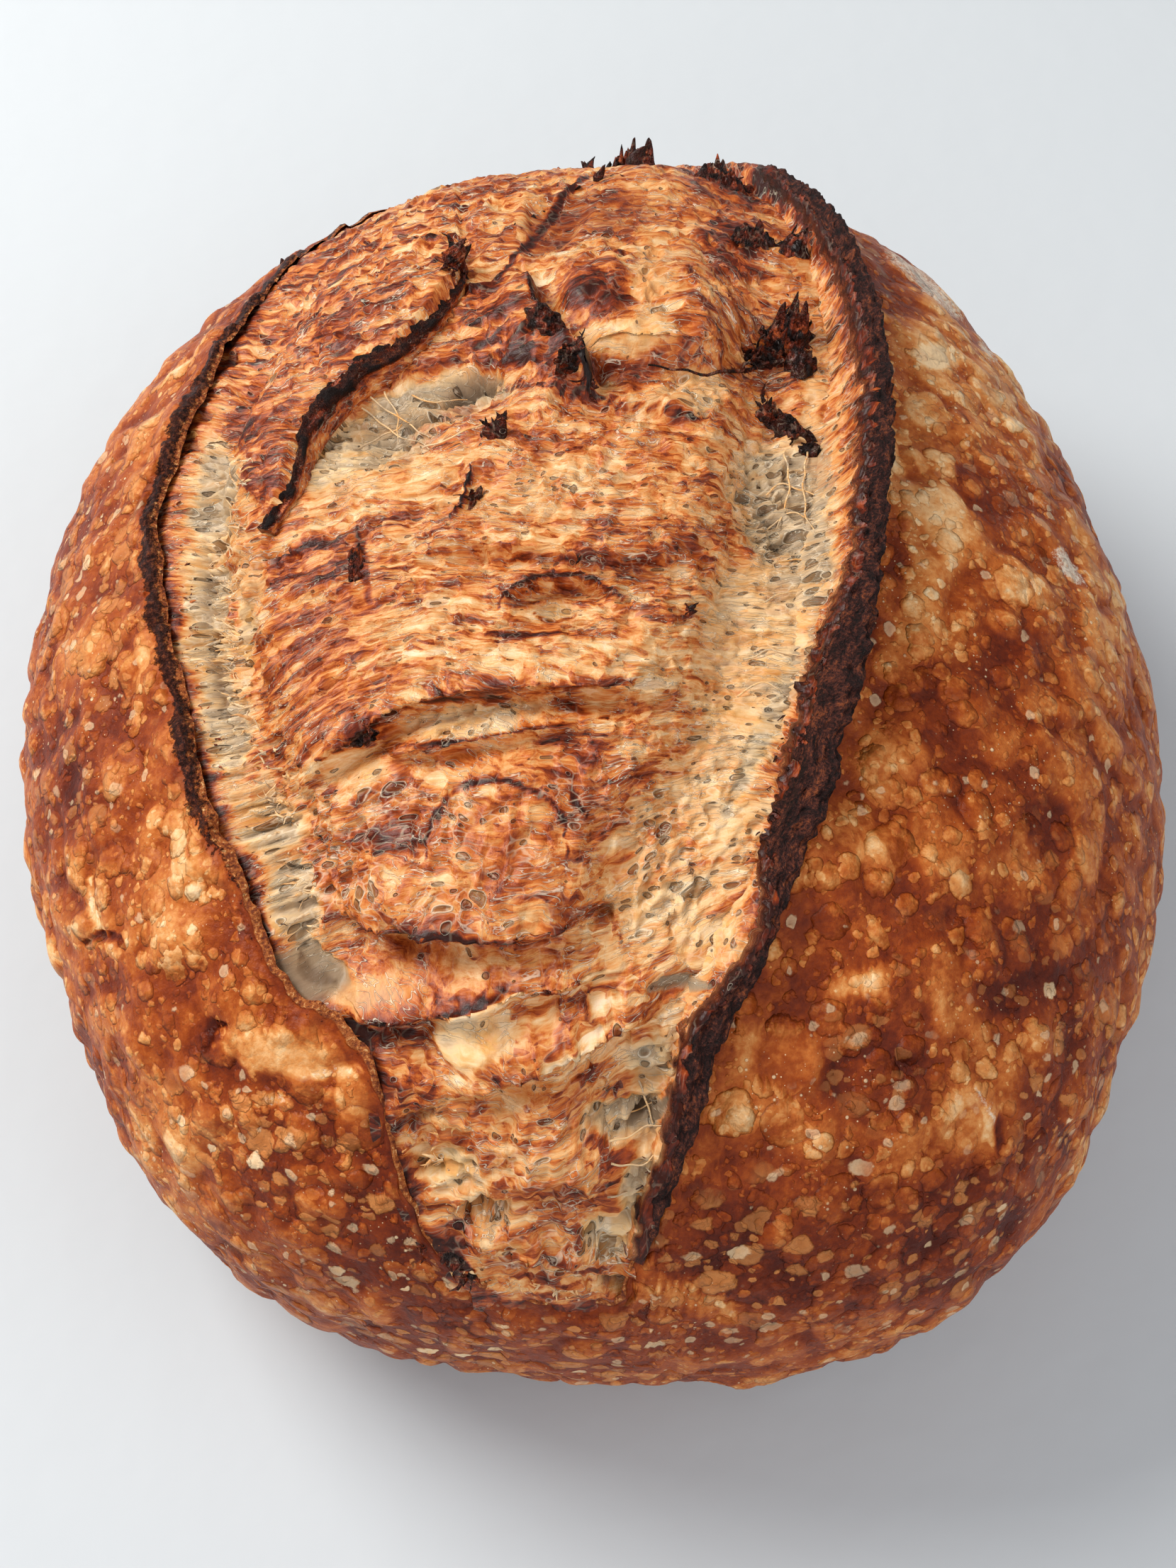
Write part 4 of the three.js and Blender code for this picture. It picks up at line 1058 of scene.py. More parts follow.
# Blades: pixels of the photograph, spread in pixels, how many, their length in mm, and the
# direction in which they lean, in degrees anticlockwise from the picture's right.
CHARRED_BLADES = [
    ((1112, 466), 18, 7, 4.5, 66), ((1128, 484), 12, 6, 3.5, 50), ((1080, 494), 16, 7, 3.5, 160),
    ((1060, 515), 16, 7, 4, 175), ((1078, 575), 6, 6, 5.5, 118), ((1130, 628), 12, 6, 3.5, -30),
    ((1117, 346), 8, 8, 4.5, 75), ((1050, 330), 16, 8, 3, 90), ((812, 492), 8, 7, 3.5, 20),
    ((830, 540), 8, 4, 3, -60), ((640, 362), 5, 8, 5, 95), ((630, 380), 6, 5, 3, 120),
    ((702, 606), 7, 9, 3.6, 90), ((672, 706), 2, 3, 3.4, 75), ((520, 1035), 8, 6, 3, 40),
    ((820, 262), 12, 6, 1.8, 120), ((880, 254), 16, 10, 1.8, 90), ((1018, 256), 16, 16, 1.8, 90),
    ((1060, 262), 22, 10, 1.4, 90), ((1098, 256), 8, 5, 1.6, 90), ((740, 284), 30, 8, 1.2, 100),
    ((387, 364), 8, 6, 2.4, 110), ((1042, 1424), 6, 7, 3.4, 10), ((600, 1764), 6, 5, 3, 200),
    ((662, 1795), 6, 7, 3.6, 275), ((820, 790), 4, 3, 2.6, 140), ((968, 862), 4, 3, 2.6, 20),
]
# Horns: pixel of the foot, length and width in mm, and the direction in the picture in degrees.
HORNS = [
    ((835, 252), 6, 2.4, 90), ((842, 256), 3.6, 1.8, 55), ((893, 250), 7.4, 4.4, 56),
    ((878, 252), 5.2, 4.6, 72), ((860, 256), 3.8, 4.2, 95), ((904, 252), 4.6, 4.6, 80),
    ((963, 260), 3.2, 0.8, 92), ((1098, 250), 6.4, 3.2, 95), ((1106, 246), 4, 1.8, 45),
    ((1008, 260), 3.4, 2.8, 105), ((1030, 258), 3.8, 2.8, 80), ((1108, 482), 6.4, 3.4, 68),
    ((1090, 494), 4.2, 2.2, 125), ((1082, 506), 5.4, 1.8, 172), ((1062, 514), 4.4, 1.2, 184),
    ((1130, 490), 4.6, 3, 40), ((1136, 510), 4.4, 2.4, -70), ((1092, 590), 3.6, 1.8, 115),
    ((1110, 602), 6, 2.2, -30), ((655, 384), 4.4, 2.2, 80), ((655, 392), 3.8, 1.6, 150),
    ((390, 374), 1.8, 1.6, 100),
]
TWIG = [(915, 520), (960, 523), (1010, 524), (1060, 519), (1106, 512)]
# Where threads are drawn: the path of their roots in pixels of the photograph, how many, their
# length and width in mm, the direction in which they run, in degrees, and how baked they are.
THREADS = [
    ([(350, 640), (340, 720), (325, 800), (326, 880), (340, 960), (362, 1040), (380, 1100)], 300,
     3.4, 0.7, 183, 0.05),
    ([(380, 1100), (405, 1170), (436, 1250), (455, 1330)], 150, 3.4, 0.7, 186, 0.05),
    ([(640, 1560), (620, 1620), (640, 1700)], 60, 3, 0.7, 190, 0.1),
    ([(1150, 320), (1190, 400), (1207, 480), (1210, 600), (1206, 700), (1197, 790)], 260, 1.7, 0.42,
     235, 1.06),
    ([(1184, 830), (1154, 930), (1124, 1030), (1094, 1130), (1076, 1220)], 240, 1.7, 0.42, 225,
     1.02),
    ([(1074, 1290), (1024, 1390), (974, 1450), (954, 1540), (939, 1620), (909, 1700), (894, 1790)],
     260, 1.9, 0.45, 215, 0.98),
    ([(258, 640), (248, 760), (264, 900), (278, 1000), (302, 1090), (342, 1210), (392, 1320)], 300,
     1.6, 0.6, 20, 0.74),
    ([(500, 1440), (530, 1540), (560, 1640), (610, 1740), (650, 1790)], 100, 1.3, 0.6, 30, 0.62),
    ([(640, 1786), (700, 1802), (760, 1818), (830, 1832)], 150, 1.7, 0.8, 265, 0.22),
]
# Long single strands over the pockets, as pixels of the photograph.
STRANDS = [
    [(505, 578), (545, 600), (590, 628), (640, 652)], [(520, 564), (556, 590), (600, 622)],
    [(545, 552), (560, 590), (566, 630)], [(600, 640), (640, 618), (690, 600)],
    [(575, 560), (620, 572), (655, 560)], [(500, 640), (540, 622), (570, 600)],
    [(1085, 700), (1110, 688), (1150, 700)], [(1080, 742), (1120, 725), (1165, 735)],
    [(1090, 804), (1125, 788), (1160, 800)], [(1070, 854), (1110, 838), (1150, 845)],
    [(1050, 934), (1090, 918), (1125, 930)], [(1040, 984), (1080, 970), (1115, 985)],
    [(1105, 640), (1112, 690), (1100, 750)], [(1140, 640), (1135, 700), (1150, 780)],
    [(850, 1584), (900, 1570), (950, 1548)], [(850, 1606), (905, 1594), (948, 1582)],
    [(860, 1644), (905, 1638), (940, 1622)], [(856, 1684), (896, 1678), (920, 1668)],
    [(900, 1530), (925, 1570), (935, 1620)],
]
STRAND_DONE = 0.08


def blade(base, along, up, length, width, thick, curl, draw):
    """Rings of a thin tapering blade that curls as it rises."""
    side = np.cross(along, up)
    side /= max(np.linalg.norm(side), 1e-6)
    rings, count = 8, 6
    place, heading = np.array(base, float), np.array(along, float)
    turn = np.linspace(0, 2 * math.pi, count, endpoint=False)
    points = []
    bend = curl * draw.normal() * 0.25
    for k in range(rings):
        t = k / (rings - 1)
        wide = width * (1 - t) ** 0.8 * (0.6 + 0.8 * draw.random_sample()) + 0.05
        deep = thick * (1 - 0.6 * t) + 0.05
        front = np.cross(side, heading)
        points.append(place + np.cos(turn)[:, None] * wide / 2 * side
                      + np.sin(turn)[:, None] * deep / 2 * front)
        heading = heading + curl * 0.22 * front + bend * side + 0.2 * draw.normal(size=3)
        heading /= np.linalg.norm(heading)
        place = place + heading * length / (rings - 1)
    return np.array(points)


def lump(point, normal, halves, height, tilt, lean, seed):
    """Rings of a ragged crag: a dome whose crest is drawn out into teeth that lean one way."""
    rings, count = int(34 * FINENESS), int(84 * FINENESS)
    turn = np.linspace(0, 2 * math.pi, count, endpoint=False)[None, :]
    t = np.linspace(1.0, 0.02, rings)[:, None]
    east = direction_in_photo(normal, tilt, 0)
    north = np.cross(normal, east)
    lean_way = direction_in_photo(normal, lean, 0)
    a, b = t * np.cos(turn), t * np.sin(turn)
    x, y = a * halves[0], b * halves[1]
    ragged = torn.layered(x / 1.5, y / 1.5, seed * 3.7, 3, 0.6)
    teeth = np.maximum(0, torn(x / 1.25 + 9, y / 1.25, seed * 5.1) - 0.05)
    ridges = torn.ridged(x / 2.3, y / 2.3, seed * 2.3)
    edge = 1 + 0.3 * torn(np.cos(turn) * 2.2, np.sin(turn) * 2.2, seed * 1.9)
    body = np.clip(1 - t**2, 0, 1)
    rise = height * (0.42 * body + 0.24 * ragged * body**0.5 + 0.95 * teeth * body**0.4
                     + 0.16 * ridges * body) - 0.9 * (1 - body)
    slide = np.maximum(0, rise)[..., None] * 0.55 * lean_way
    return (point + (x * edge)[..., None] * east + (y * edge)[..., None] * north
            + rise[..., None] * normal + slide)


def direction_in_photo(normal, degrees, rise):
    """A direction that runs that way in the picture and rises out of the surface."""
    turn = math.radians(degrees)
    flat = math.cos(turn) * np.array([1.0, 0, 0]) + math.sin(turn) * UPWARD
    flat = flat - normal * (flat @ normal)
    flat /= max(np.linalg.norm(flat), 1e-6)
    way = flat * math.cos(rise) + normal * math.sin(rise)
    return way / np.linalg.norm(way)


def tube_over(surface, path, lift, thin, thick):
    """Rings of a tube that runs over a surface through pixels of the photograph."""
    feet = [surface.at(*at) for at in path]
    line = smooth_path([point + normal * lift for point, normal in feet], 24)
    turn = np.linspace(0, 2 * math.pi, 6, endpoint=False)[None, :, None]
    width = np.linspace(thin, thick, len(line))[:, None, None]
    side = unit(np.cross(np.gradient(line, axis=0), BACKWARD))
    line = line + 0.8 * torn(*(line / 3.5).T)[:, None] * side
    return line[:, None] + width * (np.cos(turn) * side[:, None] + np.sin(turn) * BACKWARD)


def make_charred(bloom):
    draw = np.random.RandomState(31)
    store = []
    for at, *form in CHARRED_LUMPS:
        add_tube(store, lump(*bloom.at(*at), *form))
    for (x, y), spread, count, length, way in CHARRED_BLADES:
        for _ in range(count):
            at = draw.normal(size=2) * spread * 0.6
            point, normal = bloom.at(x + at[0], y + at[1])
            rise = math.radians(38 + 20 * draw.normal())
            along = direction_in_photo(normal, way + 24 * draw.normal(), rise)
            size = length * (0.4 + 0.8 * draw.random_sample())
            width = 0.9 + 1.6 * draw.random_sample()
            add_tube(store, blade(point - 0.5 * normal, along, normal, size, width, 0.4,
                                  draw.normal(), draw))
    for at, length, width, way in HORNS:
        point, normal = bloom.at(*at)
        turn = math.radians(way)
        along = np.array([math.cos(turn), 0, 0]) + math.sin(turn) * UPWARD
        along = unit(along + 0.3 * normal)
        add_tube(store, blade(point - 0.8 * along, along, BACKWARD, length + 0.8, width,
                              0.45 * width, 0.6 * draw.normal(), draw))
    add_tube(store, tube_over(bloom, TWIG, 0.7, 0.15, 0.45))
    points, quads, ends = [np.vstack(part) for part in zip(*store)]
    tone = 0.42 + 0.5 * torn(*(points / 1.6).T)
    fields = {"flow": points * (1, 0.5, 1), "done": 0.9, "char": tone, "streak": 0.6,
              "scorch": 0.42}
    new_object("charred_flakes", points, quads, ends, CRUMB, fields)


def make_threads(bloom):
    draw = np.random.RandomState(12)
    store, levels = [], []
    for path in STRANDS:
        rings = tube_over(bloom, path, 0.8, 0.17, 0.07 + 0.06 * draw.random_sample())
        levels += [STRAND_DONE] * add_tube(store, rings)
    for path, count, length, width, way, done in THREADS:
        line = smooth_path(path, 60)
        for _ in range(count):
            x, y = line[draw.randint(len(line))] + draw.normal(size=2) * (9, 5)
            point, normal = bloom.at(x, y)
            way_now = way + 18 * draw.normal()
            along = direction_in_photo(normal, way_now, 0.12 + 0.25 * draw.normal())
            size = length * (0.5 + 0.7 * draw.random_sample())
            wide = width * (0.5 + 0.7 * draw.random_sample())
            foot = point - 0.3 * normal - 0.15 * size * along
            rings = blade(foot, along, normal, size, wide, 0.3, -0.5, draw)
            levels += [done + 0.1 * draw.normal()] * add_tube(store, rings)
    points, quads, ends = [np.vstack(part) for part in zip(*store)]
    fields = {"flow": points, "done": levels, "streak": 0.25}
    new_object("drawn_threads", points, quads, ends, CRUMB, fields)


# ---- Crust ---------------------------------------------------------------------------------
CRUST_COLUMNS = int(690 * FINENESS)
CRUST_ROWS = int(126 * FINENESS)
BASE_ROWS = 9
CRUST_CENTRE = np.array([-12.0, 3.0])
SIDE_REACH = 180.0  # mm along the skin down the side, just onto the base
BASE_REACH = 262.0  # mm along the skin at which the rows close in the middle of the base
# The cut face under the lip: mm in from the edge, and lift.
CUT_FACE = [(0.95, -2.6), (0.9, -2.1), (0.8, -1.6), (0.7, -1.1), (0.55, -0.7), (0.4, -0.35),
            (0.25, -0.1), (0.1, 0.1)]
# The patches' first field is tone, how baked the crust is.
CRUST_PATCHES = patches(("tone",), [
    # left flank
    (130, 900, 90, 330, 5, 0.54, {"ovals": 0.8}), (150, 1130, 60, 90, 0, 0.5),
    (110, 1090, 34, 60, 0, 0.7), (250, 1230, 90, 130, -10, 0.34), (180, 700, 46, 120, 12, 0.5),
    (230, 1430, 150, 70, 0, 0.5), (300, 1480, 50, 40, 0, 0.66),
    # under the burst
    (330, 1600, 160, 80, 20, 0.42, {"ovals": 1}), (460, 1640, 110, 80, 20, 0.62, {"ovals": 1}),
    (500, 1740, 200, 90, 20, 0.66, {"ovals": 1}), (760, 1870, 260, 60, 2, 0.68, {"ovals": 1.3}),
    (700, 1920, 200, 40, 2, 0.56, {"ovals": 1.2}),
    (1120, 1760, 220, 120, -14, 0.78, {"ovals": 0.9}),
    (1240, 1480, 90, 150, 8, 0.76, {"ovals": 0.5}),
    # right flank
    (1110, 1420, 90, 70, 0, 0.6), (1190, 1260, 90, 60, 0, 0.58), (1210, 1060, 70, 120, 16, 0.4),
    (1310, 990, 70, 60, 0, 0.66), (1280, 700, 90, 200, -4, 0.24), (1250, 820, 26, 120, 6, 0.66),
    (1340, 500, 90, 90, 30, 0.34), (1420, 560, 90, 120, -30, 0.28), (1480, 850, 80, 150, -14, 0.44),
    (1420, 930, 60, 60, 0, 0.66), (1500, 1100, 80, 90, 0, 0.6), (1560, 1200, 60, 160, 4, 0.5),
    (1400, 1240, 70, 50, -10, 0.36), (1440, 1380, 90, 70, 0, 0.72),
    (1500, 1520, 70, 140, 14, 0.68, {"ovals": 1}),
    # lit orange patch and lower end
    (1368, 1590, 44, 56, -10, 0.2, {"dots": 0.4, "ovals": 0.2}),
    (1320, 1740, 160, 90, -30, 0.76, {"ovals": 0.9}), (1000, 1842, 70, 24, 24, 0.3),
    # pale flake
    (395, 1485, 90, 34, 8, 0.1, {"lift": 0.8, "blister_show": 0.15, "dots": 0.2}),
    (340, 1470, 34, 26, 0, 0.2, {"lift": 0.4}),
    # flour
    (1436, 690, 34, 44, 10, None, {"flour": 0.6}), (1440, 700, 60, 70, 10, None, {"flour": 0.3}),
    (1506, 800, 16, 36, -35, None, {"flour": 0.66}),
    (1318, 398, 110, 30, 42, None, {"flour": 0.62}),
    (1404, 474, 30, 76, -34, None, {"flour": 0.75}), (1316, 508, 40, 18, 8, 0, {"flour": 0.15}),
    # inside of the big ring blister
    (1106, 1493, 54, 50, 0, 0.34, {"blister_show": 0, "dots": 0, "ovals": 0}),
    (1205, 1385, 44, 18, -18, 0.24),
])
# A big ring-shaped blister: its middle and its rim's half-widths in pixels of the photograph,
# and its radius, width and height in mm.
RING_BLISTER = {"at": (1106, 1493), "rim": (52, 48), "radius": 6.0, "width": 1.0, "height": 0.9}
RING_RIM = [(RING_BLISTER["at"][0] + RING_BLISTER["rim"][0] * math.cos(turn),
             RING_BLISTER["at"][1] + RING_BLISTER["rim"][1] * math.sin(turn))
            for turn in np.linspace(0, 2 * math.pi, 9)]
CRUST_STROKES = [
    (20, RING_RIM, {"tone": 0.36}),
    (9, [(1392, 1560), (1408, 1590), (1404, 1625)], {"tone": 0.85, "lift": -0.4}),
    (14, [(1366, 1528), (1385, 1550), (1402, 1580)], {"flour": 0.6, "lift": 0.4}),
    (16, [(430, 1516), (470, 1510), (512, 1502)], {"flour": 0.4, "tone": 0.1}),
    (7, [(290, 1490), (300, 1450), (330, 1440)], {"tone": 1, "lift": -0.8}),
    (14, [(362, 1560), (385, 1552), (408, 1556)], {"flour": 0.4, "tone": 0.1}),
    (8, [(118, 1330), (150, 1318), (178, 1335)], {"tone": 1, "lift": -0.8}),
    (10, [(125, 1240), (130, 1290), (150, 1320)], {"flour": 0.4, "tone": 0}),
    (24, [(925, 1806), (970, 1828), (1040, 1862)], {"tone": 0.24, "lift": 0.3}),
]
BLISTER_SETS = [  # how many, smallest and largest radius, height for each mm of radius
    (420, 3.4, 7.0, 0.22), (1500, 2.0, 3.4, 0.3),
]


def burst_outline():
    """The burst's outline as a distance from its centre for each direction."""
    outline = np.vstack([crust_edge, ear_crest[::-1]]) - CRUST_CENTRE
    angle = np.arctan2(outline[:, 1], outline[:, 0])
    order = np.argsort(angle)
    return angle[order], np.hypot(outline[:, 0], outline[:, 1])[order]


def channel_share(u, v):
    """1 beside the deep channel on the burst's left, less where crumb and crust meet flush."""
    along = smoothstep(-94, -50, v) * (1 - smoothstep(44, 88, v))
    return along * (1 - smoothstep(-30, -10, u))


def crust_grid():
    """Places of the crust's rows and columns, a lift for the cut face and mm out from the edge."""
    angle = np.linspace(-math.pi, math.pi, CRUST_COLUMNS, endpoint=False)
    known, reach = burst_outline()
    radius = np.interp(angle, known, reach, period=2 * math.pi)
    for _ in range(3):
        radius = (np.roll(radius, 1) + 2 * radius + np.roll(radius, -1)) / 4
    ray = np.stack([np.cos(angle), np.sin(angle)], 1)
    edge = CRUST_CENTRE + ray * radius[:, None]
    slope = np.roll(edge, -1, axis=0) - np.roll(edge, 1, axis=0)
    outward = np.stack([slope[:, 1], -slope[:, 0]], 1)
    outward /= np.linalg.norm(outward, axis=1, keepdims=True)
    side = ray * SIDE_REACH
    far = ray * BASE_REACH
    rows, lifts, gaps = [], [], []
    for depth, lift in CUT_FACE:
        rows.append(edge - outward * depth)
        lifts.append(lift * mix(0.15, 0.5, channel_share(edge[:, 0], edge[:, 1])))
        gaps.append(np.full(CRUST_COLUMNS, -depth))
    down = [mix(edge, side, t) for t in np.linspace(0, 1, CRUST_ROWS) ** 1.08]
    under = [mix(side, far, t) for t in np.linspace(0, 1, BASE_ROWS + 1)[1:]]
    for place in down + under:
        rows.append(place)
        lifts.append(np.zeros(CRUST_COLUMNS))
        gaps.append(np.linalg.norm(place - edge, axis=1))
    rows = np.array(rows)
    return rows[..., 0], rows[..., 1], np.array(lifts), np.array(gaps)


def blister_fields(points, normals, outside):
    """Relief and fields of the raised blisters, scattered over the crust."""
    draw = np.random.RandomState(5)
    flat = points.reshape(-1, 3)
    height = np.zeros(len(flat))
    inside = np.full(len(flat), -1.0)
    tone = np.full(len(flat), 0.5)
    candidates = np.flatnonzero((flat[:, 2] > 1.5) & (outside.ravel() > 1.0))
    area_weight = np.linalg.norm(np.cross(np.gradient(points, axis=0), np.gradient(points, axis=1)),
                                 axis=-1).ravel()[candidates]
    area_weight /= area_weight.sum()
    for count, small, large, rise in BLISTER_SETS:
        middles = draw.choice(candidates, count, p=area_weight)
        radii = small + (large - small) * draw.random_sample(count) ** 2
        stretch = 1 + 0.5 * draw.random_sample(count)
        turns = draw.random_sample(count) * math.pi
        tones = np.clip(draw.normal(0.5, 0.26, count), 0, 1)
        order = np.argsort(flat[:, 2], kind="stable")
        sorted_z = flat[order, 2]
        for k in range(count):
            middle, radius = flat[middles[k]], radii[k] * stretch[k]
            low, high = np.searchsorted(sorted_z, [middle[2] - radius, middle[2] + radius])
            near = order[low:high]
            away = flat[near] - middle
            close = np.einsum("ij,ij->i", away, away) < radius**2
            near, away = near[close], away[close]
            normal = normals.reshape(-1, 3)[middles[k]]
            side = np.cross(normal, (0.0, 0.0, 1.0))
            side /= max(np.linalg.norm(side), 1e-6)
            up = np.cross(side, normal)
            a, b = away @ side, away @ up
            turn = turns[k]
            along = (a * math.cos(turn) + b * math.sin(turn)) / (radii[k] * stretch[k])
            across = (-a * math.sin(turn) + b * math.cos(turn)) / radii[k]
            field = 1 - np.hypot(along, across)
            swell = radii[k] * rise * np.sqrt(np.clip(field, 0, 1)) * (1 - 0.35 * np.clip(field, 0, 1))
            height[near] = np.maximum(height[near], swell)
            newer = field > np.maximum(inside[near], -0.2)
            tone[near] = np.where(newer, tones[k], tone[near])
            inside[near] = np.maximum(inside[near], field)
    shape = points.shape[:2]
    return height.reshape(shape), inside.reshape(shape), tone.reshape(shape)


def rim_scorch(u, v, gap):
    """How scorched the lip beside the burst is: most on the left, hardly at the lower end."""
    level = np.interp(v, [-112, -70, -52, -40, 70, 100], [0.1, 0.2, 0.5, 0.95, 0.95, 0.6])
    uneven = coarse(u / 7, v / 7, 2.0) + 0.8 * coarse(u / 2.5, v / 2.5, 3.0)
    width = 1.15 + 0.8 * uneven
    return level * bump(gap - 0.2 - 0.5 * uneven, np.maximum(width, 0.3))


def make_crust():
    u, v, cut, gap = crust_grid()
    outside = np.maximum(gap, 0)
    bare = skin(u, v, cut)
    normals = normals_of(skin(u, v))
    if normals[len(normals) // 2, 0] @ bare[len(normals) // 2, 0] < 0:
        normals = -normals
    x, y = photo_place(bare)
    facing = seen(bare, normals)

    def places(size, shift=0.0):
        return bare[..., 0] / size, bare[..., 1] / size, bare[..., 2] / size + shift

    low = 1 - smoothstep(5, 40, bare[..., 2])
    none = np.zeros(u.shape)
    fields = {
        "tone": 0.5 + 0.16 * coarse.layered(*places(30), 3) + 0.16 * low,
        "specks": smoothstep(-0.3, 0.5, coarse(*places(22, 3))),
        "ovals": 0.7 * low + 0.4 * smoothstep(-0.2, 0.6, coarse(*places(26, 9))),
        "lift": none, "flour": none, "blister_show": none + 1, "dots": none + 1,
    }
    paint(fields, x, y, facing, CRUST_PATCHES, CRUST_STROKES)
    height, inside, blister_tone = blister_fields(bare, normals, outside)
    height = height * fields["blister_show"]
    off_base = smoothstep(0.4, 4.0, bare[..., 2])
    fade = smoothstep(0, 3, outside) * off_base
    ring = RING_BLISTER
    away = np.hypot(x - ring["at"][0], y - ring["at"][1]) / PHOTO_PIXELS_PER_MM
    ring_lift = ring["height"] * bump(away - ring["radius"] * 0.85, ring["width"])
    ring_lift = (ring_lift + 0.5 * (1 - smoothstep(0, ring["radius"], away))) * facing
    uneven = (0.8 * coarse(*places(18)) + 1.5 * (np.abs(coarse(*places(9, 7))) - 0.25)
              + 0.3 * fine(*places(5)) + 0.12 * fine(*places(2.4)))
    lip = CRUST_LIP["height"] * bump(outside, CRUST_LIP["width"]) * smoothstep(-104, -56, v)
    rag = (1.3 * torn(u / 5.5, v / 5.5, 7.1) + 1.2 * torn(u / 2.8, v / 2.8, 1.1)
           + 0.4 * torn(u / 1.5, v / 1.5, 4.1))
    lift = cut + lip + fade * (height + fields["lift"]) + uneven * off_base + ring_lift
    shift = 0.8 * bump(gap, 1.8) * rag
    points = skin(u + shift, v + 0.6 * shift, lift + 0.7 * bump(gap - 0.2, 1.6) * rag)
    points[..., 2] = np.where(bare[..., 2] <= 0.02, 0.0, points[..., 2])
    rows, columns = u.shape
    quads, r, c = grid_quads(rows, columns, wrap=True, flip=True)
    flat = np.vstack([points.reshape(-1, 3), points[-1].mean(axis=0)])
    last = (rows - 1) * columns
    column = np.arange(columns)
    fan = np.stack([last + column, np.full(columns, len(flat) - 1),
                    last + (column + 1) % columns], 1)
    fan_uv = np.tile([[0.5, 0.999], [0.5, 1.0], [0.501, 0.999]], (columns, 1))
    uv = strip_uv(c / columns, r / (rows - 1), 2, (0.004, 0.008))
    corner_uv = np.vstack([uv, fan_uv])
    shown = {
        "tone": fields["tone"] + 0.3 * (1 - off_base), "blister": inside,
        # relief sets the crust's tone: paler raised places and darker low places, partly painted shade
        "blister_tone": blister_tone, "flour": fields["flour"], "relief": height + uneven,
        "scorch": rim_scorch(u, v, gap), "cut": 1 - smoothstep(-0.5, 0.1, gap),
    }
    shown.update((key, fields[key] * fade) for key in ("blister_show", "dots", "specks", "ovals"))
    new_object("crust", flat, quads, fan, CRUST, shown, corner_uv, (-1,))


# ---- Ear and flap rim ----------------------------------------------------------------------
EAR_LENGTH = 262.0
FLAP_LENGTH = 95.0
FLAP_LIFT = 3.5
# The ear's torn inner edge as pixels of the photograph, from the top down.
EAR_FRILL = np.array([
    (1080, 236), (1098, 262), (1125, 288), (1160, 330), (1190, 400), (1205, 450), (1215, 550),
    (1210, 650), (1205, 750), (1195, 810), (1170, 870), (1150, 930), (1130, 990), (1110, 1080),
    (1078, 1150), (1072, 1200), (1078, 1260), (1060, 1330), (1020, 1390), (975, 1440), (955, 1500),
    (945, 1560), (935, 1620), (905, 1700), (895, 1770), (885, 1810),
])


def swept_grid(path, base_lift, section_of, count):
    """A section swept along a skin path: its points, outward directions and sections.

    Across is positive to the path's left.
    """
    slope = unit(np.gradient(path, axis=0))
    bare = skin(path[:, 0], path[:, 1])
    across = unit(skin(path[:, 0] - slope[:, 1], path[:, 1] + slope[:, 0]) - bare)[:, None]
    up = unit(skin(path[:, 0], path[:, 1], 1.0) - bare)[:, None]
    sections = np.array([smooth_path(section_of(share), count, closed=True)
                         for share in np.linspace(0, 1, len(path))])
    foot = skin(path[:, 0], path[:, 1], base_lift)[:, None]
    points = foot + sections[..., :1] * across + sections[..., 1:] * up
    away = unit(sections - sections.mean(axis=1, keepdims=True))
    return points, away[..., :1] * across + away[..., 1:] * up, sections


def around_section(sections):
    """Mm round each section from its first point."""
    steps = np.linalg.norm(np.roll(sections, -1, axis=1) - sections, axis=-1)
    return np.cumsum(steps, axis=1)


def ear_size(share):
    at, height, thick = zip(*EAR_SIZES)
    i = np.clip(np.searchsorted(at, share) - 1, 0, len(at) - 2)
    t = smoothstep(at[i], at[i + 1], share)
    return mix(height[i], height[i + 1], t), mix(thick[i], thick[i + 1], t)


def ear_section(share):
    height, thick = ear_size(share)
    half = thick / 2
    return [
        (-half * 0.5, -5), (-half * 0.5, height * 0.15), (-half * 0.75, height * 0.55),
        (-half * 0.8, height * 0.88), (-half * 0.4, height), (half * 0.4, height * 0.93),
        (half * 1.0, height * 0.76), (half * 1.1, height * 0.4), (half * 1.25, height * 0.1),
        (half * 1.5, -5),
    ]


def flap_section(share):
    fade = math.sin(math.pi * min(0.9, max(0.1, share)))
    height, half = FLAP_SIZE["height"] * fade, FLAP_SIZE["thick"] / 2
    return [
        (-half * 2.2, -3), (-half * 1.4, height * 0.6), (-half * 0.2, height),
        (half * 1.2, height * 0.75), (half * 1.1, height * 0.1), (half * 0.4, -3),
    ]


def swept_piece(name, points, fields, strips):
    rows, columns = points.shape[:2]
    quads, r, c = grid_quads(rows, columns, wrap=True, flip=True)
    flat, ends = capped(points, flip=True)
    end_uv = np.tile([[0.001, 0.001], [0.002, 0.001], [0.001, 0.002]], (len(ends), 1))
    corner_uv = np.vstack([strip_uv(r / (rows - 1), c / columns, strips), end_uv])
    new_object(name, flat, quads, ends, CRUMB, fields, corner_uv, (0, -1))


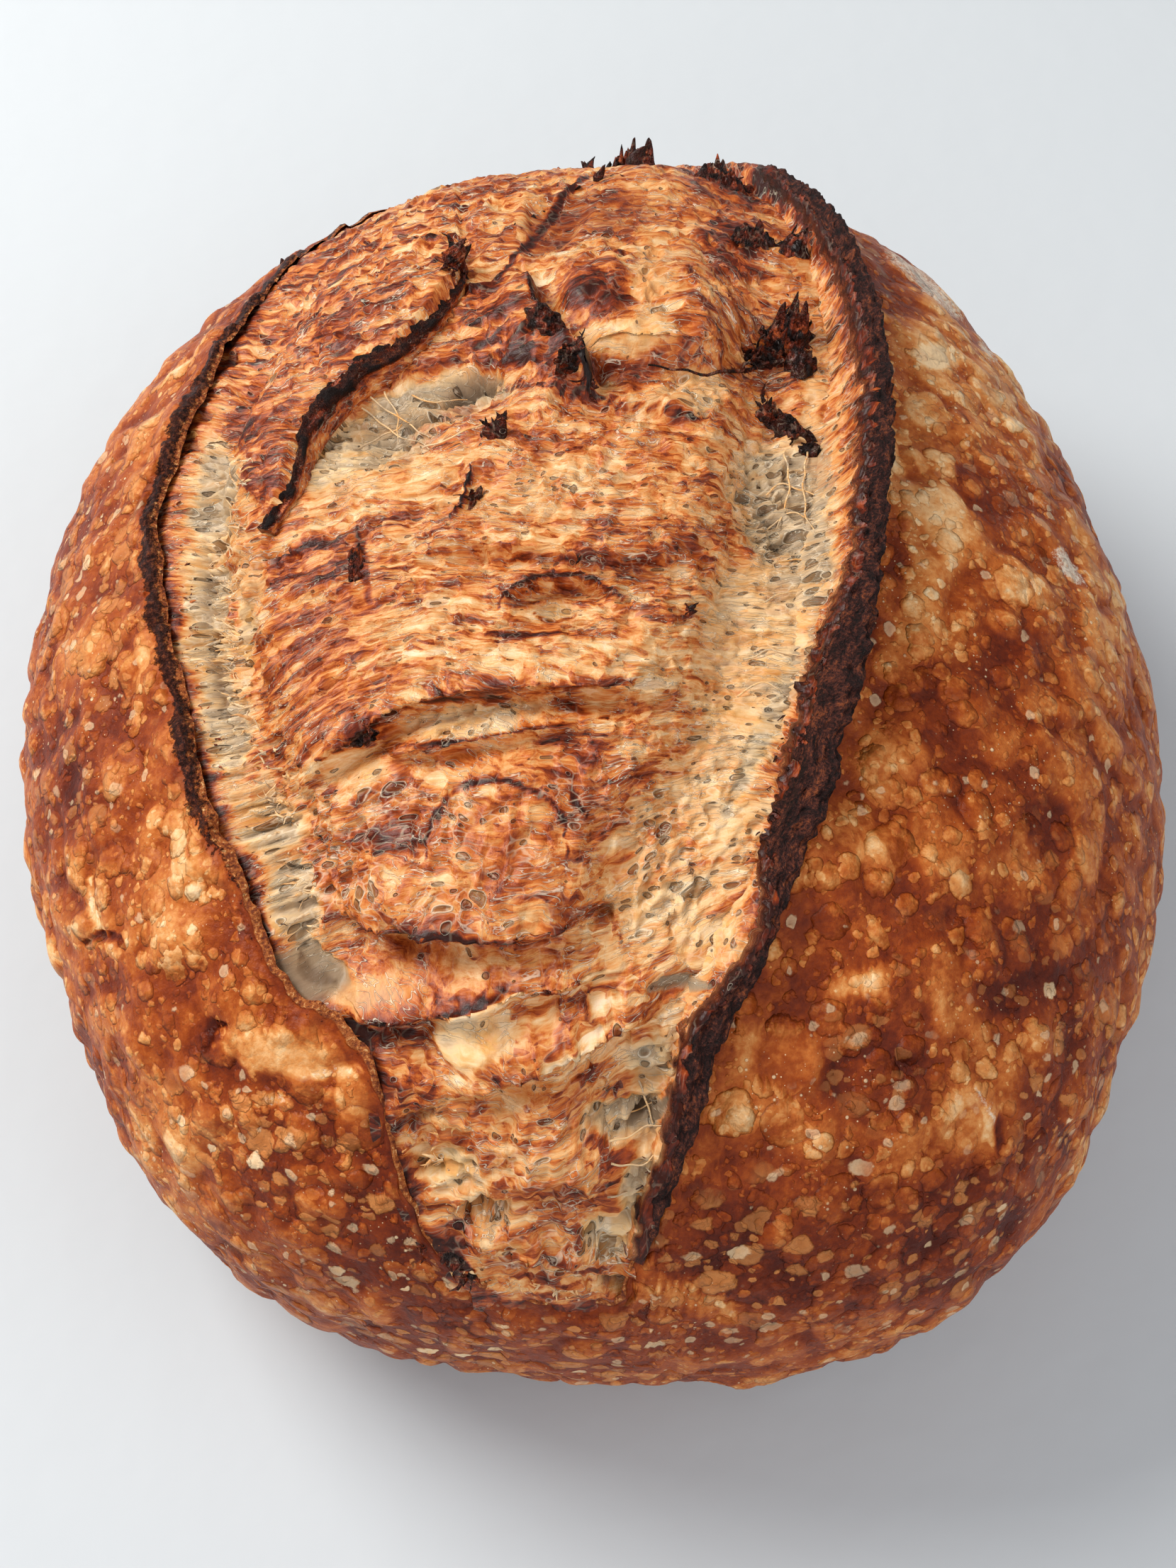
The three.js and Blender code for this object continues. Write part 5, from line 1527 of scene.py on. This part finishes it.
def make_ear():
    stations = int(520 * FINENESS)
    path = smooth_path(EAR_CREST, stations)
    points, outward, sections = swept_grid(path, 0.0, ear_section, int(76 * FINENESS))
    share = np.linspace(0, 1, stations + 1)[:, None]
    height = np.array([ear_size(one)[0] for one in share[:, 0]])[:, None]
    across, up = sections[..., 0], sections[..., 1]
    level = up / np.maximum(height, 1)
    length = np.broadcast_to(share * EAR_LENGTH, up.shape)
    around = around_section(sections)
    x, y = photo_place(points)
    ahead = (x - np.interp(y, EAR_FRILL[:, 1], EAR_FRILL[:, 0])) / PHOTO_PIXELS_PER_MM
    rag = torn.layered(length / 2.2, around / 2.6, 6.1, 3, 0.6)
    spikes = np.maximum(0, torn(length / 1.3, around / 1.5, 9.3) - 0.12)
    curls = torn.layered(length / 1.7, around / 1.6, 2.4, 3, 0.6)
    cluster = smoothstep(-0.2, 0.7, coarse(length / 9, 4.2, 1.3))
    ahead = ahead + 1.1 * rag + 0.9 * coarse(length / 6, 1.7, 5.3)
    pale = 1 - smoothstep(-0.9, 0.3, ahead)  # the torn crumb on the side towards the burst
    foot = (1 - smoothstep(0.2, 1.6, across)) * (1 - smoothstep(0.1, 0.5, level))
    fields = crumb_fields(x.shape, done=0.3, streak=0.6, web=0.4)
    paint(fields, x, y, 1.0, BLOOM_PATCHES, BLOOM_STROKES)
    beside_path = path[:, :1] - across - np.maximum(0, height - up)
    along_path = np.broadcast_to(path[:, 1:], across.shape)
    fibre_u, fibre_v = fibre_place(beside_path, along_path)
    small, crest, web, _ = fine_crumb(fibre_u, fibre_v, fields)
    skin_push = (0.2 * torn.ridged(length / 7, around / 1.1, 0.7)
                 + 0.3 * coarse.layered(length / 5, around / 1.8, 2.5, 3)
                 + 0.65 * torn(length / 2.1, around / 1.3, 3.7)
                 + 0.5 * coarse(length / 1.2, around / 1.0, 8.1))
    frill = 0.1 + 0.6 * rag + 0.5 * curls + (0.5 + 1.4 * cluster) * spikes
    push = mix(skin_push + bump(ahead - 1.0, 1.4) * frill, 0.6 * small, pale)
    wave = 0.9 * coarse(length / 11, 0.5, 0.5) + 0.6 * coarse(length / 4.5, 3.5, 0.5)
    ends = smoothstep(0, 0.04, share) * smoothstep(0, 0.04, 1 - share)
    grow = push * smoothstep(-3, 0.5, up) + wave * smoothstep(0.4, 1.0, level)
    points = points + outward * (grow * ends)[..., None]
    done = fields["done"] + 0.3 * bump(ahead + 1.4, 1.8)
    # painted shade in the holes and pockets on the ear's torn crumb side
    dark = (fields["dark"] + 0.3 * fields["web"] * web) * pale
    shown = {
        "flow": np.stack([mix(length, fibre_u, pale), mix(around, fibre_v, pale), 0 * x], -1),
        "done": mix(0.93 + 0.12 * rag + 0.14 * curls, done, pale),
        "streak": mix(0.3, fields["streak"], pale), "dark": np.clip(dark, 0, 1),
        "crest": np.clip(mix(0.4 * push, crest, pale), -1, 1),
        "scorch": smoothstep(0.9, 2.9, ahead + 1.1 * curls) * (1 - 0.8 * foot),
    }
    shown.update((key, fields[key] * pale) for key in ("web", "char", "grey"))
    swept_piece("ear", points, shown, 3)


def make_flap_rim():
    stations = int(190 * FINENESS)
    path = smooth_path(FLAP_RIM, stations)
    points, outward, sections = swept_grid(path, FLAP_LIFT, flap_section, int(52 * FINENESS))
    up = sections[..., 1]
    length = np.broadcast_to(np.linspace(0, FLAP_LENGTH, stations + 1)[:, None], up.shape)
    around = around_section(sections)
    rag = torn.layered(length / 5.5, around / 2.4, 16.1, 4, 0.55)
    spikes = np.maximum(0, torn(length / 2.2, around / 1.2, 19.3) - 0.2)
    push = 0.9 * rag + 0.9 * spikes - 0.3
    points = points + outward * (push * smoothstep(-2, 0.5, up))[..., None]
    top = smoothstep(-0.5, 1.4, up)
    shown = {
        "flow": np.stack([length, around, 0 * up], -1), "done": mix(0.6, 0.9, top),
        "streak": 0.7, "crest": np.clip(0.4 * push, -1, 1), "char": 0.32 * top + 0.6 * rag,
        "dark": 0.0, "scorch": 0.55 * top + 0.3 * rag,
    }
    swept_piece("flap_rim", points, shown, 1)


# ---- Stage ---------------------------------------------------------------------------------
FLOOR_TONE = (206, 210, 213)
FLOOR_HALF = 3.0
LIGHT_TARGET = (0, 0, 0.06)
# name, place in metres, size in metres, watts, colour
LIGHTS = [
    ("key", (-0.6, 0.3, 0.75), 0.6, 10.5, (1.0, 0.99, 0.96)),
    ("fill", (0.65, -0.35, 0.7), 0.9, 2.4, (0.95, 0.97, 1.0)),
    ("front", (-0.1, -0.9, 0.5), 0.8, 2.2, (1.0, 1.0, 1.0)),
]
STUDIO_TONE = (0.95, 0.97, 1.0, 1)
STUDIO_STRENGTH = 0.4


def make_stage():
    mesh = bpy.data.meshes.new("floor")
    sides = [(-1, -1), (1, -1), (1, 1), (-1, 1)]
    mesh.from_pydata([(FLOOR_HALF * x, FLOOR_HALF * y, 0) for x, y in sides], [], [(0, 1, 2, 3)])
    g = Graph("floor", 0.9, 0.1)
    g.colour = srgb(FLOOR_TONE)
    grain = g.noise(g.add("TexCoord", {}, "Object"), 90.0, 2.0)
    mesh.materials.append(g.finish(grain, 0.8, 0.3))
    floor = placed("floor", mesh)


def make_lights():
    for name, place, size, watts, colour in LIGHTS:
        data = bpy.data.lights.new(name, "AREA")
        data.shape = "DISK"
        data.size = size
        data.energy = watts
        data.color = colour
        lamp = placed(name, data)
        lamp.location = place
        away = Vector(LIGHT_TARGET) - Vector(place)
        lamp.rotation_euler = away.to_track_quat("-Z", "Y").to_euler()
    world = bpy.data.worlds.new("studio")
    world.use_nodes = True
    background = world.node_tree.nodes["Background"]
    background.inputs["Color"].default_value = STUDIO_TONE
    background.inputs["Strength"].default_value = STUDIO_STRENGTH
    bpy.context.scene.world = world
    bpy.context.scene.view_settings.view_transform = "Standard"


def make_camera():
    data = bpy.data.cameras.new("camera")
    data.sensor_fit = "HORIZONTAL"
    data.sensor_width = 36.0
    data.lens = FOCAL_PIXELS / PHOTO_SIZE[0] * data.sensor_width
    data.shift_y = (OPTICAL_CENTRE[1] - PHOTO_SIZE[1] / 2) / PHOTO_SIZE[0]
    data.clip_start = 0.01
    camera = placed("camera", data)
    camera.location = CAMERA_PLACE * MM
    camera.rotation_euler = (math.pi / 2 - CAMERA_ELEVATION, 0, 0)
    bpy.context.scene.camera = camera


bloom = make_bloom()
make_crust()
make_ear()
make_flap_rim()
make_charred(bloom)
make_threads(bloom)
make_stage()
make_lights()
make_camera()
